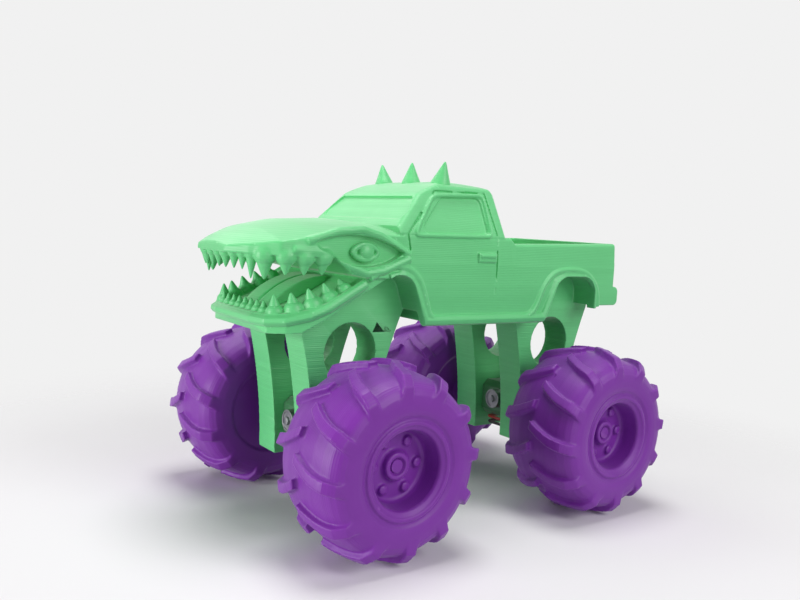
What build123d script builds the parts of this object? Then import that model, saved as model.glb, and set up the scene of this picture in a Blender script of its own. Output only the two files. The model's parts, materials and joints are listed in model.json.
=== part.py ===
"""A printed toy monster pickup with a toothed animal mouth for a front, on four lugged tyres.

X points forward, Y to the truck's left and Z up; the ground is z = 0 and x = 0 is half-way along.
All sizes are in millimetres.
"""
import os
from collections import namedtuple
from math import atan2, cos, hypot, radians, sin

from build123d import *

# Driving sizes
WHEEL_RADIUS = 40.0          # axle to the lugs' crown
WHEEL_WIDTH = 43.0
WHEELBASE = 123.0
TRACK = 113.6                # between the wheels' middle planes
NOSE_REACH = 50.6            # snout tip ahead of the front axle
JAW_REACH = 40.4             # lower lip ahead of the front axle
TAIL_REACH = 39.4            # bumper behind the rear axle
BODY_WIDTH = 78.0

CHIN_Z = 86.8                # underside of the chin above the ground

# Heights that stand on one another, from the chin to the roof
SILL_RISE = 4.0              # chin to the sills
LIP_RISE = 7.6               # chin to the lower lip
FLOOR_RISE = 5.2             # sills to the body's underside, where the legs end
MOUTH_RISE = 16.0            # lower lip to the mouth's corners
GUM_RISE = 8.2               # mouth's corners to the upper jaw's underside
HOOD_HEIGHT = 15.8           # upper jaw's underside to the hood
EYE_RISE = 2.6               # upper jaw's underside to the eyes
ARCH_RISE = 21.2             # sills to the arches' tops
BED_RISE = 25.2              # sills to the bed's floor
BED_DEPTH = 14.0             # bed's floor to the belt line
COWL_RISE = 2.8              # belt line to the windscreen's foot
CAB_HEIGHT = 22.0            # belt line to the roof's edges
SCREEN_DROP = 4.4            # roof's edges to the windscreen's top
ROOF_CROWN = 3.5
SPIKE_HEIGHT = 8.0

# Teeth, spikes and beads
SPIKE_SIDES = 6
TIP_SHARE = 0.26             # blunt tip, as a share of the base
BEAD_SIDES = 8

# Wheels
LUG_HEIGHT = 2.8
LUG_WIDTH = 3.8
LUGS_A_SIDE = 12
CROWN_FLAT = 1.5             # half of the level strip along the crown
CROWN_DROP = 3.0             # shoulders below the crown
SHOULDER = 2.6               # width of the sidewall's bevel
SIDEWALL_RADIUS = 27.0
RIM_RADIUS = 20.6
DISH_RADIUS = 15.6
DISH_DEPTH = 11.5
RIM_STEP = 1.0
HUB_RADIUS = 5.7
HUB_STANDS = 3.0

# Axles, legs and drive
SHAFT_RADIUS = 2.6
BORE_SIDES = 16
PRESS_GAP = 0.03
RUN_GAP = 0.15
LEG_INNER = 9.8              # half the space between a pair of legs
LEG_OUTER = 25.2
LEG_FOOT = 14.3              # leg's bottom below the axle
LEG_TOE = 11.8               # leg's front edge ahead of the axle, at the bottom and at the top
LEG_TOP_FRONT = 23.0
LEG_HEEL = 14.0              # leg's rear edge behind the axle, at the bottom and at the top
LEG_TOP_BACK = 31.4
LEG_HOLLOW = 2.6             # how far the edges curve in
HOLE_RADIUS = 13.2
HOLE_SIDES = 24
HOLE_BACK = 4.3
HOLE_DROP = 18.8             # hole's middle below the body's underside
BOX_FRONT = 8.0
BOX_BACK = 11.0
BOX_OVER = 12.1              # gearbox's top above the axle and its bottom below
BOX_UNDER = 6.4
BOX_CUT = 3.0
MOTOR_RADIUS = 5.0
MOTOR_LENGTH = 6.0
MOTOR_Y = 3.6
MOTOR_OVER = 4.1             # motor's middle above the axle
MOTOR_SIDES = 24
LEAD_RADIUS = 0.8

# Body
CAB_BACK = 21.2              # cab's rear foot behind the middle of the wheelbase
CAB_FRONT = 43.5
SCREEN_FRONT = 29.6
ROOF_BACK = 15.6
ROOF_ROUND = 6.0             # roof's rear corner in the side view
ROOF_HALF = 29.6
CAB_EDGE = 3.0
PANEL_DEPTH = 1.0            # windows are sunk by this
GROOVE = 0.8
BUMPER_RISE = 1.6            # bumper's underside above the body's
BUMPER_HEIGHT = 9.8
BUMPER_LENGTH = 15.5
BUMPER_STANDS = 4.0
BED_WALL = 4.4
SILL_WIDTH = 3.5
BULGE = 1.0                  # sides swell by this at the arches' height
CREASE = 5.0                 # half the height of the sides' upright band
FLARE = 2.8                  # radius of the bead round arches and sill
BEAD = 1.9                   # radius of the brow and cheek beads
SOCKET_DEPTH = 3.0
LIP = 2.2                    # radius of the lower lip's bead
MOUTH_ROUND = 3.2

# Derived levels
SILL_Z = CHIN_Z + SILL_RISE
LIP_Z = CHIN_Z + LIP_RISE
FLOOR_Z = SILL_Z + FLOOR_RISE
SPLIT_Z = LIP_Z + MOUTH_RISE                # the lower jaw meets the body here
ARCH_Z = SILL_Z + ARCH_RISE
BED_FLOOR_Z = SILL_Z + BED_RISE
GUM_Z = SPLIT_Z + GUM_RISE
EYE_Z = GUM_Z + EYE_RISE
HOOD_Z = GUM_Z + HOOD_HEIGHT
BELT_Z = BED_FLOOR_Z + BED_DEPTH
COWL_Z = BELT_Z + COWL_RISE
ROOF_REAR_Z = BELT_Z + CAB_HEIGHT
SCREEN_Z = ROOF_REAR_Z - SCREEN_DROP
ROOF_Z = ROOF_REAR_Z + ROOF_CROWN
BUMPER_BOTTOM_Z = FLOOR_Z + BUMPER_RISE
BUMPER_TOP_Z = BUMPER_BOTTOM_Z + BUMPER_HEIGHT
HOLE_Z = FLOOR_Z - HOLE_DROP

# Derived places
LUG_PITCH = 360.0 / LUGS_A_SIDE
LUG_CORNER = hypot(WHEEL_RADIUS, LUG_WIDTH / 2)
AXLE_Z = LUG_CORNER * cos(radians(LUG_PITCH / 4) - atan2(LUG_WIDTH / 2, WHEEL_RADIUS))
FRONT_END = WHEELBASE / 2 + NOSE_REACH
REAR_END = WHEELBASE / 2 + AXLE_Z
MID_X = (REAR_END - FRONT_END) / 2          # half-way between the axles
FX = MID_X + WHEELBASE / 2                  # front axle
RX = MID_X - WHEELBASE / 2                  # rear axle
HALF = BODY_WIDTH / 2
WHEEL_HALF = WHEEL_WIDTH / 2
TREAD_HALF = WHEEL_HALF - SHOULDER
TAIL_X = RX - TAIL_REACH + BUMPER_STANDS
CAB_REAR_X = MID_X - CAB_BACK
CAB_FRONT_X = MID_X + CAB_FRONT
CORNER_X = FX - 0.063 * WHEEL_RADIUS        # mouth corner
JAW_BACK_X = FX - 0.335 * WHEEL_RADIUS      # back face of the lower jaw
NOSE_BACK_X = FX - 0.506 * WHEEL_RADIUS     # the nose joins the tub here

AxleRow = namedtuple("AxleRow", "name x")
AXLES = [AxleRow("front", FX), AxleRow("rear", RX)]
SideRow = namedtuple("SideRow", "name sign")
SIDES = [SideRow("left", 1), SideRow("right", -1)]

os.makedirs("parts", exist_ok=True)


def save(builder, name):
    """Label a finished sub-part and write its STEP file."""
    builder.part.label = name
    export_step(builder.part, f"parts/{name}.step")


def bead(run, radius):
    """Sweep a bead along a bent line, mitred at its corners, in the part being built."""
    with BuildLine() as path:
        Polyline(*run)
    with BuildSketch(Plane(origin=path.line @ 0, z_dir=path.line % 0)) as section:
        RegularPolygon(radius, BEAD_SIDES)
    sweep(sections=section.sketch, path=path.line, transition=Transition.RIGHT)


def spike(seat, base, length):
    """A blunt spike with flat sides that stands on a plane."""
    with BuildPart() as post:
        with BuildSketch(seat):
            RegularPolygon(base, SPIKE_SIDES)
        extrude(amount=length)
        tip = post.faces().sort_by(Axis(seat.origin, seat.z_dir))[-1]
        inset = (1 - TIP_SHARE) * base * cos(radians(180 / SPIKE_SIDES))
        chamfer(tip.edges(), length=inset, length2=0.96 * length, reference=tip)
    return post.part


# Wheel, built about the origin with its outer face towards +Y: tyre, dish and hub in one
CORE_RADIUS = WHEEL_RADIUS - LUG_HEIGHT
SHOULDER_RADIUS = CORE_RADIUS - CROWN_DROP
CROWN_TILT = atan2(CROWN_DROP, TREAD_HALF - CROWN_FLAT)
DISH_FLOOR = WHEEL_HALF - DISH_DEPTH
HUB_FACE = DISH_FLOOR + HUB_STANDS
LugPoint = namedtuple("LugPoint", "across back")
LUG_LINE = [
    LugPoint(0.0, 0.0),
    LugPoint(0.44 * TREAD_HALF, 1.2 * LUG_WIDTH),
    LugPoint(1.02 * TREAD_HALF, 1.9 * LUG_WIDTH),
]

with BuildPart() as wheel:
    with BuildSketch(Plane.XZ):
        RegularPolygon(CORE_RADIUS, 2 * LUGS_A_SIDE, rotation=LUG_PITCH / 4)
    extrude(amount=WHEEL_HALF, both=True)
    taper = WHEEL_HALF - CROWN_FLAT
    drop = taper * CROWN_DROP / (TREAD_HALF - CROWN_FLAT)
    for end in wheel.faces().filter_by(Axis.Y):
        chamfer(end.edges(), length=drop, length2=taper, reference=end)
    for end in wheel.faces().filter_by(Axis.Y):
        chamfer(end.edges(), length=SHOULDER_RADIUS - SIDEWALL_RADIUS, length2=SHOULDER, reference=end)
    for sign in (1, -1):
        for step in range(LUGS_A_SIDE):
            turn = radians(-90.0 + sign * LUG_PITCH / 4 + step * LUG_PITCH)
            out = Vector(cos(turn), 0, sin(turn))
            side_way = Vector(0, sign, 0)
            across = side_way * cos(CROWN_TILT) - out * sin(CROWN_TILT)
            outward = out * cos(CROWN_TILT) + side_way * sin(CROWN_TILT)
            with BuildSketch(Plane(origin=out * WHEEL_RADIUS, x_dir=across, z_dir=outward)):
                with BuildLine():
                    near = [(row.across, sign * row.back - LUG_WIDTH / 2) for row in LUG_LINE]
                    far = [(row.across, sign * row.back + LUG_WIDTH / 2) for row in reversed(LUG_LINE)]
                    Polyline(*near, *far, close=True)
                make_face()
            extrude(amount=-LUG_HEIGHT - CROWN_DROP / 2)
    with BuildSketch(Plane.XZ.offset(-WHEEL_HALF)):
        RegularPolygon(RIM_RADIUS, 2 * LUGS_A_SIDE, rotation=LUG_PITCH / 4)
    extrude(amount=RIM_STEP, mode=Mode.SUBTRACT)
    with BuildSketch(Plane.XZ.offset(-WHEEL_HALF)):
        RegularPolygon(DISH_RADIUS, 2 * LUGS_A_SIDE, rotation=LUG_PITCH / 4)
    extrude(amount=DISH_DEPTH, mode=Mode.SUBTRACT)
    with BuildSketch(Plane.XZ.offset(-DISH_FLOOR)):
        RegularPolygon(HUB_RADIUS, LUGS_A_SIDE)
    extrude(amount=-HUB_STANDS)
    with BuildSketch(Plane.XZ):
        RegularPolygon(SHAFT_RADIUS + PRESS_GAP, BORE_SIDES, major_radius=False)
    extrude(amount=WHEEL_HALF, both=True, mode=Mode.SUBTRACT)

for axle in AXLES:
    for side in SIDES:
        with BuildPart() as placed:
            with Locations((axle.x, TRACK / 2, AXLE_Z)):
                add(wheel.part)
            if side.sign < 0:
                mirror(about=Plane.XZ, mode=Mode.REPLACE)
        save(placed, f"wheel_{axle.name}_{side.name}")

# Axles: a plain shaft that ends just inside each hub's face
SHAFT_END = TRACK / 2 + HUB_FACE - HUB_STANDS / 5
for axle in AXLES:
    with BuildPart() as shaft:
        with BuildSketch(Plane.XZ):
            with Locations((axle.x, AXLE_Z)):
                Circle(SHAFT_RADIUS)
        extrude(amount=SHAFT_END, both=True)
    save(shaft, f"axle_{axle.name}")

# Legs: four thick walls with a big round hole, each carrying an axle
LEG_BOTTOM_Z = AXLE_Z - LEG_FOOT
LEG_MID_Z = (LEG_BOTTOM_Z + FLOOR_Z) / 2
for axle in AXLES:
    toe = (axle.x + LEG_TOE, LEG_BOTTOM_Z)
    front = (axle.x + LEG_TOP_FRONT, FLOOR_Z)
    rear = (axle.x - LEG_TOP_BACK, FLOOR_Z)
    heel = (axle.x - LEG_HEEL, LEG_BOTTOM_Z)
    shin = (axle.x + (LEG_TOE + LEG_TOP_FRONT) / 2 - LEG_HOLLOW, LEG_MID_Z)
    calf = (axle.x - (LEG_HEEL + LEG_TOP_BACK) / 2 + LEG_HOLLOW, LEG_MID_Z)
    for side in SIDES:
        with BuildPart() as leg:
            with BuildSketch(Plane.XZ.offset(-side.sign * LEG_INNER)):
                with BuildLine():
                    ThreePointArc(toe, shin, front)
                    Line(front, rear)
                    ThreePointArc(rear, calf, heel)
                    Line(heel, toe)
                make_face()
                with Locations((axle.x - HOLE_BACK, HOLE_Z)):
                    RegularPolygon(HOLE_RADIUS, HOLE_SIDES, mode=Mode.SUBTRACT)
                with Locations((axle.x, AXLE_Z)):
                    RegularPolygon(SHAFT_RADIUS + RUN_GAP, BORE_SIDES, major_radius=False, mode=Mode.SUBTRACT)
            extrude(amount=-side.sign * (LEG_OUTER - LEG_INNER))
        save(leg, f"leg_{axle.name}_{side.name}")

# Gearboxes: one plain block between each pair of legs, with the motor's round end in front
BOX_TOP = AXLE_Z + BOX_OVER
BOX_BOTTOM = AXLE_Z - BOX_UNDER
for axle in AXLES:
    with BuildPart() as gearbox:
        with BuildSketch(Plane.XZ):
            with Locations((axle.x + (BOX_FRONT - BOX_BACK) / 2, (BOX_TOP + BOX_BOTTOM) / 2)):
                box = Rectangle(BOX_FRONT + BOX_BACK, BOX_TOP - BOX_BOTTOM)
            chamfer(box.vertices(), BOX_CUT)
            with Locations((axle.x, AXLE_Z)):
                RegularPolygon(SHAFT_RADIUS + RUN_GAP, BORE_SIDES, major_radius=False, mode=Mode.SUBTRACT)
        extrude(amount=LEG_INNER, both=True)
    save(gearbox, f"gearbox_{axle.name}")
    with BuildPart() as motor:
        with BuildSketch(Plane.YZ.offset(axle.x + BOX_FRONT)):
            with Locations((MOTOR_Y, AXLE_Z + MOTOR_OVER)):
                RegularPolygon(MOTOR_RADIUS, MOTOR_SIDES)
        extrude(amount=MOTOR_LENGTH)
    save(motor, f"motor_{axle.name}")

# Leads: a red and a black one from the body's floor down behind each gearbox, under it and into a leg
LeadRow = namedtuple("LeadRow", "name ahead aside below")    # in lead radii, shares of the gap and lead radii
LEADS = [LeadRow("red", -2.0, 0.70, 1.6), LeadRow("black", 1.0, 0.40, 4.2)]
for axle in AXLES:
    for lead in LEADS:
        back_x = axle.x - BOX_BACK - 2 * LEAD_RADIUS
        front_x = axle.x + BOX_FRONT + lead.ahead * LEAD_RADIUS
        lead_y = -lead.aside * LEG_INNER
        lead_z = BOX_BOTTOM - lead.below * LEAD_RADIUS
        with BuildPart() as wire:
            route = [
                (back_x, lead_y, FLOOR_Z), (back_x, lead_y, lead_z), (front_x, lead_y, lead_z),
                (front_x, LEG_INNER, lead_z),
            ]
            bead(route, LEAD_RADIUS)
        save(wire, f"lead_{lead.name}_{axle.name}")

# Cab: the side view and the front view meet in one rounded block
with BuildPart() as cab:
    with BuildSketch(Plane.XZ) as side_view:
        with BuildLine():
            Polyline(
                (MID_X - ROOF_BACK, ROOF_REAR_Z),
                (CAB_REAR_X, BED_FLOOR_Z),
                (CAB_FRONT_X, BED_FLOOR_Z),
                (CAB_FRONT_X, COWL_Z),
                (MID_X + SCREEN_FRONT, SCREEN_Z),
            )
            ThreePointArc(
                (MID_X + SCREEN_FRONT, SCREEN_Z),
                (MID_X + (SCREEN_FRONT - ROOF_BACK) / 2, ROOF_Z - 1),
                (MID_X - ROOF_BACK, ROOF_REAR_Z),
            )
        make_face()
        fillet(side_view.vertices().sort_by_distance((MID_X - ROOF_BACK, ROOF_REAR_Z))[0], ROOF_ROUND)
    extrude(amount=HALF, both=True)
    with BuildSketch(Plane.YZ):
        with BuildLine():
            Polyline(
                (ROOF_HALF, ROOF_REAR_Z), (HALF - BULGE, BELT_Z), (HALF - BED_WALL, BED_FLOOR_Z),
                (BED_WALL - HALF, BED_FLOOR_Z), (BULGE - HALF, BELT_Z), (-ROOF_HALF, ROOF_REAR_Z),
            )
            ThreePointArc((-ROOF_HALF, ROOF_REAR_Z), (0, ROOF_Z), (ROOF_HALF, ROOF_REAR_Z))
        make_face()
    extrude(amount=WHEELBASE, both=True, mode=Mode.INTERSECT)
    upper = cab.edges().filter_by(lambda edge: edge.center().Z > COWL_Z + CAB_EDGE / 2)
    fillet(upper.filter_by(lambda edge: abs(edge.center().Y) > ROOF_HALF / 2), CAB_EDGE)

# Side windows and door seams: sunk to a cab that is narrower by the panel's depth
WindowPoint = namedtuple("WindowPoint", "along up")
WINDOW = [                                   # shares of the roof's span and of the cab's height
    WindowPoint(1.10, -0.03), WindowPoint(0.18, 0.02), WindowPoint(0.22, 0.80), WindowPoint(0.735, 0.75),
]
SEAM = [
    WindowPoint(1.18, -0.36), WindowPoint(1.21, -0.02), WindowPoint(0.80, 0.87), WindowPoint(0.14, 0.90),
    WindowPoint(0.06, 0.0), WindowPoint(0.07, -1.2),
]


def side_point(row):
    """The place in the side view of a point given in shares."""
    span = SCREEN_FRONT + ROOF_BACK
    return (MID_X - ROOF_BACK + row.along * span, BELT_Z + row.up * (ROOF_REAR_Z - BELT_Z))


with BuildPart() as side_panels:
    with BuildSketch(Plane.XZ):
        with BuildLine():
            FilletPolyline(*[side_point(row) for row in WINDOW], radius=CAB_EDGE, close=True)
        make_face()
    extrude(amount=BODY_WIDTH, both=True)
    with BuildSketch(Plane.XZ):
        with BuildLine():
            Polyline(*[side_point(row) for row in SEAM])
        trace(line_width=GROOVE)
    extrude(amount=BODY_WIDTH, both=True)
    with BuildSketch(Plane.YZ):
        with BuildLine():
            Polyline(
                (ROOF_HALF - PANEL_DEPTH, ROOF_REAR_Z), (HALF - BULGE - PANEL_DEPTH, BELT_Z),
                (HALF - PANEL_DEPTH, ARCH_Z), (HALF - PANEL_DEPTH, SILL_Z),
                (PANEL_DEPTH - HALF, SILL_Z), (PANEL_DEPTH - HALF, ARCH_Z),
                (BULGE - HALF + PANEL_DEPTH, BELT_Z), (PANEL_DEPTH - ROOF_HALF, ROOF_REAR_Z), close=True,
            )
        make_face()
    extrude(amount=WHEELBASE, both=True, mode=Mode.SUBTRACT)

# Front and rear screens: sunk in the same way, lengthwise
with BuildPart() as screens:
    with BuildSketch(Plane.YZ):
        with BuildLine():
            foot = COWL_Z + CAB_EDGE
            head = SCREEN_Z - CAB_EDGE / 2
            FilletPolyline(
                (HALF - 3 * BULGE, foot), (ROOF_HALF - BULGE, head), (BULGE - ROOF_HALF, head),
                (3 * BULGE - HALF, foot), radius=CAB_EDGE, close=True,
            )
        make_face()
    extrude(amount=WHEELBASE, both=True)
    with BuildSketch(Plane.XZ):
        with BuildLine():
            Polyline(
                (MID_X - ROOF_BACK + PANEL_DEPTH, ROOF_REAR_Z), (CAB_REAR_X + PANEL_DEPTH, BED_FLOOR_Z),
                (CAB_FRONT_X - 1.4 * PANEL_DEPTH, BED_FLOOR_Z), (CAB_FRONT_X - 1.4 * PANEL_DEPTH, COWL_Z),
                (MID_X + SCREEN_FRONT - 1.4 * PANEL_DEPTH, SCREEN_Z), close=True,
            )
        make_face()
    extrude(amount=HALF, both=True, mode=Mode.SUBTRACT)

# Wheel arches: the cuts, and a bead that runs round both arches and along the sill
ArchPoint = namedtuple("ArchPoint", "ahead up")    # shares of the wheel's radius and of the arch's height
FRONT_ARCH = [ArchPoint(-0.855, -0.13), ArchPoint(-0.58, 1.19)]
REAR_ARCH = [
    ArchPoint(-0.515, 0.25), ArchPoint(-0.515, 1.02), ArchPoint(0.14, 1.02), ArchPoint(0.41, -0.13),
]
REAR_FLARE = [
    ArchPoint(-0.515, 0.25), ArchPoint(-0.515, 0.68), ArchPoint(-0.44, 0.93), ArchPoint(-0.30, 1.02),
    ArchPoint(0.06, 1.02), ArchPoint(0.20, 0.88), ArchPoint(0.385, 0.07),
]
FRONT_FLARE = [
    ArchPoint(-0.845, 0.07), ArchPoint(-0.68, 0.74), ArchPoint(-0.61, 0.93), ArchPoint(-0.52, 1.0),
]
ARCH_ROUND = 9.0


def arch_line(axle_x, rows):
    """The places in the side view of an arch's points."""
    return [(axle_x + row.ahead * WHEEL_RADIUS, SILL_Z + row.up * (ARCH_Z - SILL_Z)) for row in rows]


with BuildPart() as arches:
    for line in (arch_line(FX, FRONT_ARCH) + [(JAW_BACK_X, SPLIT_Z)], arch_line(RX, REAR_ARCH)):
        with BuildSketch(Plane.XZ):
            with BuildLine():
                FilletPolyline(*line, radius=ARCH_ROUND)
                Polyline(line[-1], (line[-1][0], CHIN_Z), (line[0][0], CHIN_Z), line[0])
            make_face()
        extrude(amount=HALF + FLARE, both=True)
    with Locations((MID_X, 0, FLOOR_Z)):
        Box(
            2 * WHEELBASE, 2 * LEG_OUTER, ROOF_Z,
            align=(Align.CENTER, Align.CENTER, Align.MIN), mode=Mode.SUBTRACT,
        )

with BuildPart() as flares:
    for side in SIDES:
        line = arch_line(RX, REAR_FLARE) + arch_line(FX, FRONT_FLARE) + [(JAW_BACK_X, SPLIT_Z)]
        bead([(x, side.sign * (HALF - 0.6 * FLARE), z) for x, z in line], FLARE)

# Nose: sections from the cowl to the snout, as shares of the nose's reach, half width and height
NoseRow = namedtuple("NoseRow", "along half side crown")
NOSE = [
    NoseRow((NOSE_BACK_X - FX) / NOSE_REACH, 0.985, 0.62, 0.93),
    NoseRow(0.00, 0.990, 0.66, 1.00),
    NoseRow(0.42, 0.955, 0.52, 0.91),
    NoseRow(0.70, 0.850, 0.35, 0.71),
    NoseRow(0.88, 0.585, 0.22, 0.48),
    NoseRow(1.00, 0.340, 0.16, 0.24),
]
with BuildPart() as nose:
    for row in NOSE:
        with BuildSketch(Plane.YZ.offset(FX + row.along * NOSE_REACH)):
            with BuildLine():
                wide = row.half * HALF
                brim = GUM_Z + row.side * (HOOD_Z - GUM_Z)
                Polyline((wide, brim), (wide, SPLIT_Z), (-wide, SPLIT_Z), (-wide, brim))
                ThreePointArc((-wide, brim), (0, GUM_Z + row.crown * (HOOD_Z - GUM_Z)), (wide, brim))
            make_face()
    loft(ruled=True)
    with BuildSketch(Plane.XZ):
        with BuildLine():
            FilletPolyline(
                (FX + 1.1 * NOSE_REACH, GUM_Z), (FX + 0.24 * NOSE_REACH, GUM_Z),
                (FX + 0.09 * NOSE_REACH, SPLIT_Z + 1.4), (CORNER_X, SPLIT_Z), radius=MOUTH_ROUND,
            )
            Polyline(
                (CORNER_X, SPLIT_Z), (CORNER_X, FLOOR_Z), (FX + 1.1 * NOSE_REACH, FLOOR_Z),
                (FX + 1.1 * NOSE_REACH, GUM_Z),
            )
        make_face()
    extrude(amount=HALF, both=True, mode=Mode.SUBTRACT)

# Eye sockets, with a brow bead above and a cheek bead below each
FacePoint = namedtuple("FacePoint", "along half up")
BROW = [
    FacePoint(0.50, 0.915, 3.6), FacePoint(0.24, 0.960, 8.2), FacePoint(0.02, 0.970, 9.2),
    FacePoint(-0.16, 0.972, 7.0), FacePoint(-0.46, 0.975, -0.6),
]
CHEEK = [
    FacePoint(0.60, 0.872, 0.0), FacePoint(0.28, 0.955, -0.6), FacePoint(0.12, 0.980, -6.0),
    FacePoint(-0.03, 0.985, -8.8), FacePoint(-0.20, 0.985, -7.4), FacePoint(-0.46, 0.985, -2.0),
]
with BuildPart() as beads:
    for side in SIDES:
        for line in (BROW, CHEEK):
            run = [(FX + row.along * NOSE_REACH, side.sign * row.half * HALF, EYE_Z + row.up) for row in line]
            bead(run, BEAD)

with BuildPart() as sockets:
    for side in SIDES:
        with BuildSketch(Plane.XZ.offset(-side.sign * (HALF - SOCKET_DEPTH))):
            with BuildLine():
                tip = (FX + 0.44 * NOSE_REACH, EYE_Z + 3.2)
                tail = (FX - 0.40 * NOSE_REACH, EYE_Z + 0.2)
                ThreePointArc(tip, (FX + 0.06 * NOSE_REACH, EYE_Z + 6.8), tail)
                ThreePointArc(tail, (FX - 0.02 * NOSE_REACH, EYE_Z - 6.2), tip)
            make_face()
        extrude(amount=-side.sign * SOCKET_DEPTH * 2)

# Body shell: tub, bumper, nose and cab in one, with the bed and arches cut out
with BuildPart() as body_shell:
    with BuildSketch(Plane.YZ.offset(TAIL_X)):
        with BuildLine():
            low = HALF - BULGE
            Polyline(
                (low, SILL_Z), (HALF, ARCH_Z - CREASE), (HALF, ARCH_Z + CREASE), (low, BELT_Z),
                (-low, BELT_Z), (-HALF, ARCH_Z + CREASE), (-HALF, ARCH_Z - CREASE), (-low, SILL_Z),
                close=True,
            )
        make_face()
    extrude(amount=NOSE_BACK_X - TAIL_X)
    fillet(body_shell.edges().filter_by(Axis.X).group_by(Axis.Z)[-1], 0.6 * FLARE)
    with Locations((arch_line(RX, REAR_ARCH)[0][0], 0, BUMPER_BOTTOM_Z)):
        Box(
            TAIL_REACH, 2 * BODY_WIDTH, BUMPER_BOTTOM_Z - CHIN_Z,
            align=(Align.MAX, Align.CENTER, Align.MAX), mode=Mode.SUBTRACT,
        )
    with BuildSketch(Plane.XY.offset(FLOOR_Z)):
        with Locations((RX - LEG_TOP_BACK / 2, 0)):
            Rectangle(LEG_TOP_BACK, 2 * LEG_OUTER)
    extrude(amount=BUMPER_RISE)
    with BuildSketch(Plane.XZ):
        with Locations((RX - TAIL_REACH + BUMPER_LENGTH / 2, (BUMPER_BOTTOM_Z + BUMPER_TOP_Z) / 2)):
            RectangleRounded(BUMPER_LENGTH, BUMPER_TOP_Z - BUMPER_BOTTOM_Z, FLARE)
    extrude(amount=HALF, both=True)
    with BuildSketch(Plane.XY.offset(FLOOR_Z)):
        with Locations(((NOSE_BACK_X + JAW_BACK_X) / 2, 0)):
            Rectangle(JAW_BACK_X - NOSE_BACK_X, 2 * LEG_OUTER)
    extrude(amount=SPLIT_Z - FLOOR_Z)
    add(nose.part)
    add(flares.part)
    add(beads.part)
    add(sockets.part, mode=Mode.SUBTRACT)
    with BuildSketch(Plane.XY.offset(CHIN_Z)):
        with Locations((MID_X, 0)):
            Rectangle(2 * WHEELBASE, BODY_WIDTH - 2 * SILL_WIDTH)
    extrude(amount=FLOOR_Z - CHIN_Z, mode=Mode.SUBTRACT)
    add(arches.part, mode=Mode.SUBTRACT)
    add(cab.part)
    add(side_panels.part, mode=Mode.SUBTRACT)
    add(screens.part, mode=Mode.SUBTRACT)
    for side in SIDES:
        with Locations((MID_X - 0.28 * CAB_BACK, side.sign * HALF, EYE_Z - 0.6)):
            Box(0.52 * CAB_BACK, 2 * BULGE, 1.4 * CAB_EDGE)
    with BuildSketch(Plane.XY.offset(BED_FLOOR_Z)):
        bed_front = CAB_REAR_X - BULGE
        bed_rear = TAIL_X + BED_WALL
        with Locations(((bed_front + bed_rear) / 2, 0)):
            RectangleRounded(bed_front - bed_rear, BODY_WIDTH - 2 * BED_WALL, CAB_EDGE)
    extrude(amount=ROOF_Z - BED_FLOOR_Z, mode=Mode.SUBTRACT)
save(body_shell, "body_shell")

# Lower jaw: a side view cut to a blunt plan, with stepped gums and a round lip along its edge
JawPoint = namedtuple("JawPoint", "along up")
GUMS = [                                     # shares of the jaw's reach and of the mouth's rise
    JawPoint(1.02, -0.01), JawPoint(0.73, 0.075), JawPoint(0.555, 0.18), JawPoint(0.375, 0.35),
    JawPoint(0.212, 0.545), JawPoint(0.04, 0.79), JawPoint((CORNER_X - FX) / JAW_REACH, 1.0),
]
LipPoint = namedtuple("LipPoint", "along half up")
LIP_SIDE = [
    LipPoint((CORNER_X - FX) / JAW_REACH, 1.0, 1.0), LipPoint(0.36, 1.0, 0.38), LipPoint(0.54, 0.955, 0.17),
    LipPoint(0.76, 0.85, 0.02), LipPoint(0.90, 0.70, -0.02), LipPoint(1.0 - LIP / JAW_REACH, 0.47, -0.02),
]


def jaw_x(share):
    """The distance forward for a share of the jaw's reach."""
    return FX + share * JAW_REACH


def jaw_z(share):
    """The height for a share of the mouth's rise."""
    return LIP_Z + share * (SPLIT_Z - LIP_Z)


def gum_point(number):
    """A corner of the stepped gums in the side view."""
    return (jaw_x(GUMS[number].along), jaw_z(GUMS[number].up))


def lip_line():
    """The middle of the lip, from the left mouth corner round the chin to the right one."""
    left = [(jaw_x(row.along), row.half * HALF - LIP, jaw_z(row.up) - LIP) for row in LIP_SIDE]
    right = [(x, -y, z) for x, y, z in reversed(left)]
    return left + right


with BuildPart() as lower_jaw:
    with BuildSketch(Plane.XZ):
        with BuildLine():
            Polyline(
                *[gum_point(number) for number in range(len(GUMS))], (JAW_BACK_X, SPLIT_Z),
                (jaw_x(0.62), CHIN_Z + 0.8), (jaw_x(0.90), CHIN_Z), close=True,
            )
        make_face()
    extrude(amount=HALF, both=True)
    with BuildSketch(Plane.XZ):
        with BuildLine():
            Polyline(
                *[gum_point(number) for number in range(3, len(GUMS))], (JAW_BACK_X, SPLIT_Z),
                (JAW_BACK_X, FLOOR_Z), (jaw_x(0.6), FLOOR_Z), close=True,
            )
        make_face()
    extrude(amount=LEG_OUTER, both=True)
    with BuildSketch(Plane.XY):
        with BuildLine():
            rim_line = [(x, y) for x, y, z in lip_line()]
            Polyline((JAW_BACK_X, HALF - LIP), *rim_line[1:-1], (JAW_BACK_X, LIP - HALF), close=True)
        make_face()
    extrude(amount=ROOF_Z, mode=Mode.INTERSECT)
    bead(lip_line(), LIP)
    with Locations((JAW_BACK_X, 0, SPLIT_Z)):
        Box(
            JAW_REACH, 2 * BODY_WIDTH, LIP_Z - CHIN_Z,
            align=(Align.CENTER, Align.CENTER, Align.MIN), mode=Mode.SUBTRACT,
        )
    with Locations((JAW_BACK_X - 1, 0, FLOOR_Z)):
        Box(
            FX + LEG_TOP_FRONT + 2 - JAW_BACK_X, 2 * LEG_OUTER, FLOOR_Z - CHIN_Z + 1,
            align=(Align.MIN, Align.CENTER, Align.MAX), mode=Mode.SUBTRACT,
        )
save(lower_jaw, "lower_jaw")

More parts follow.
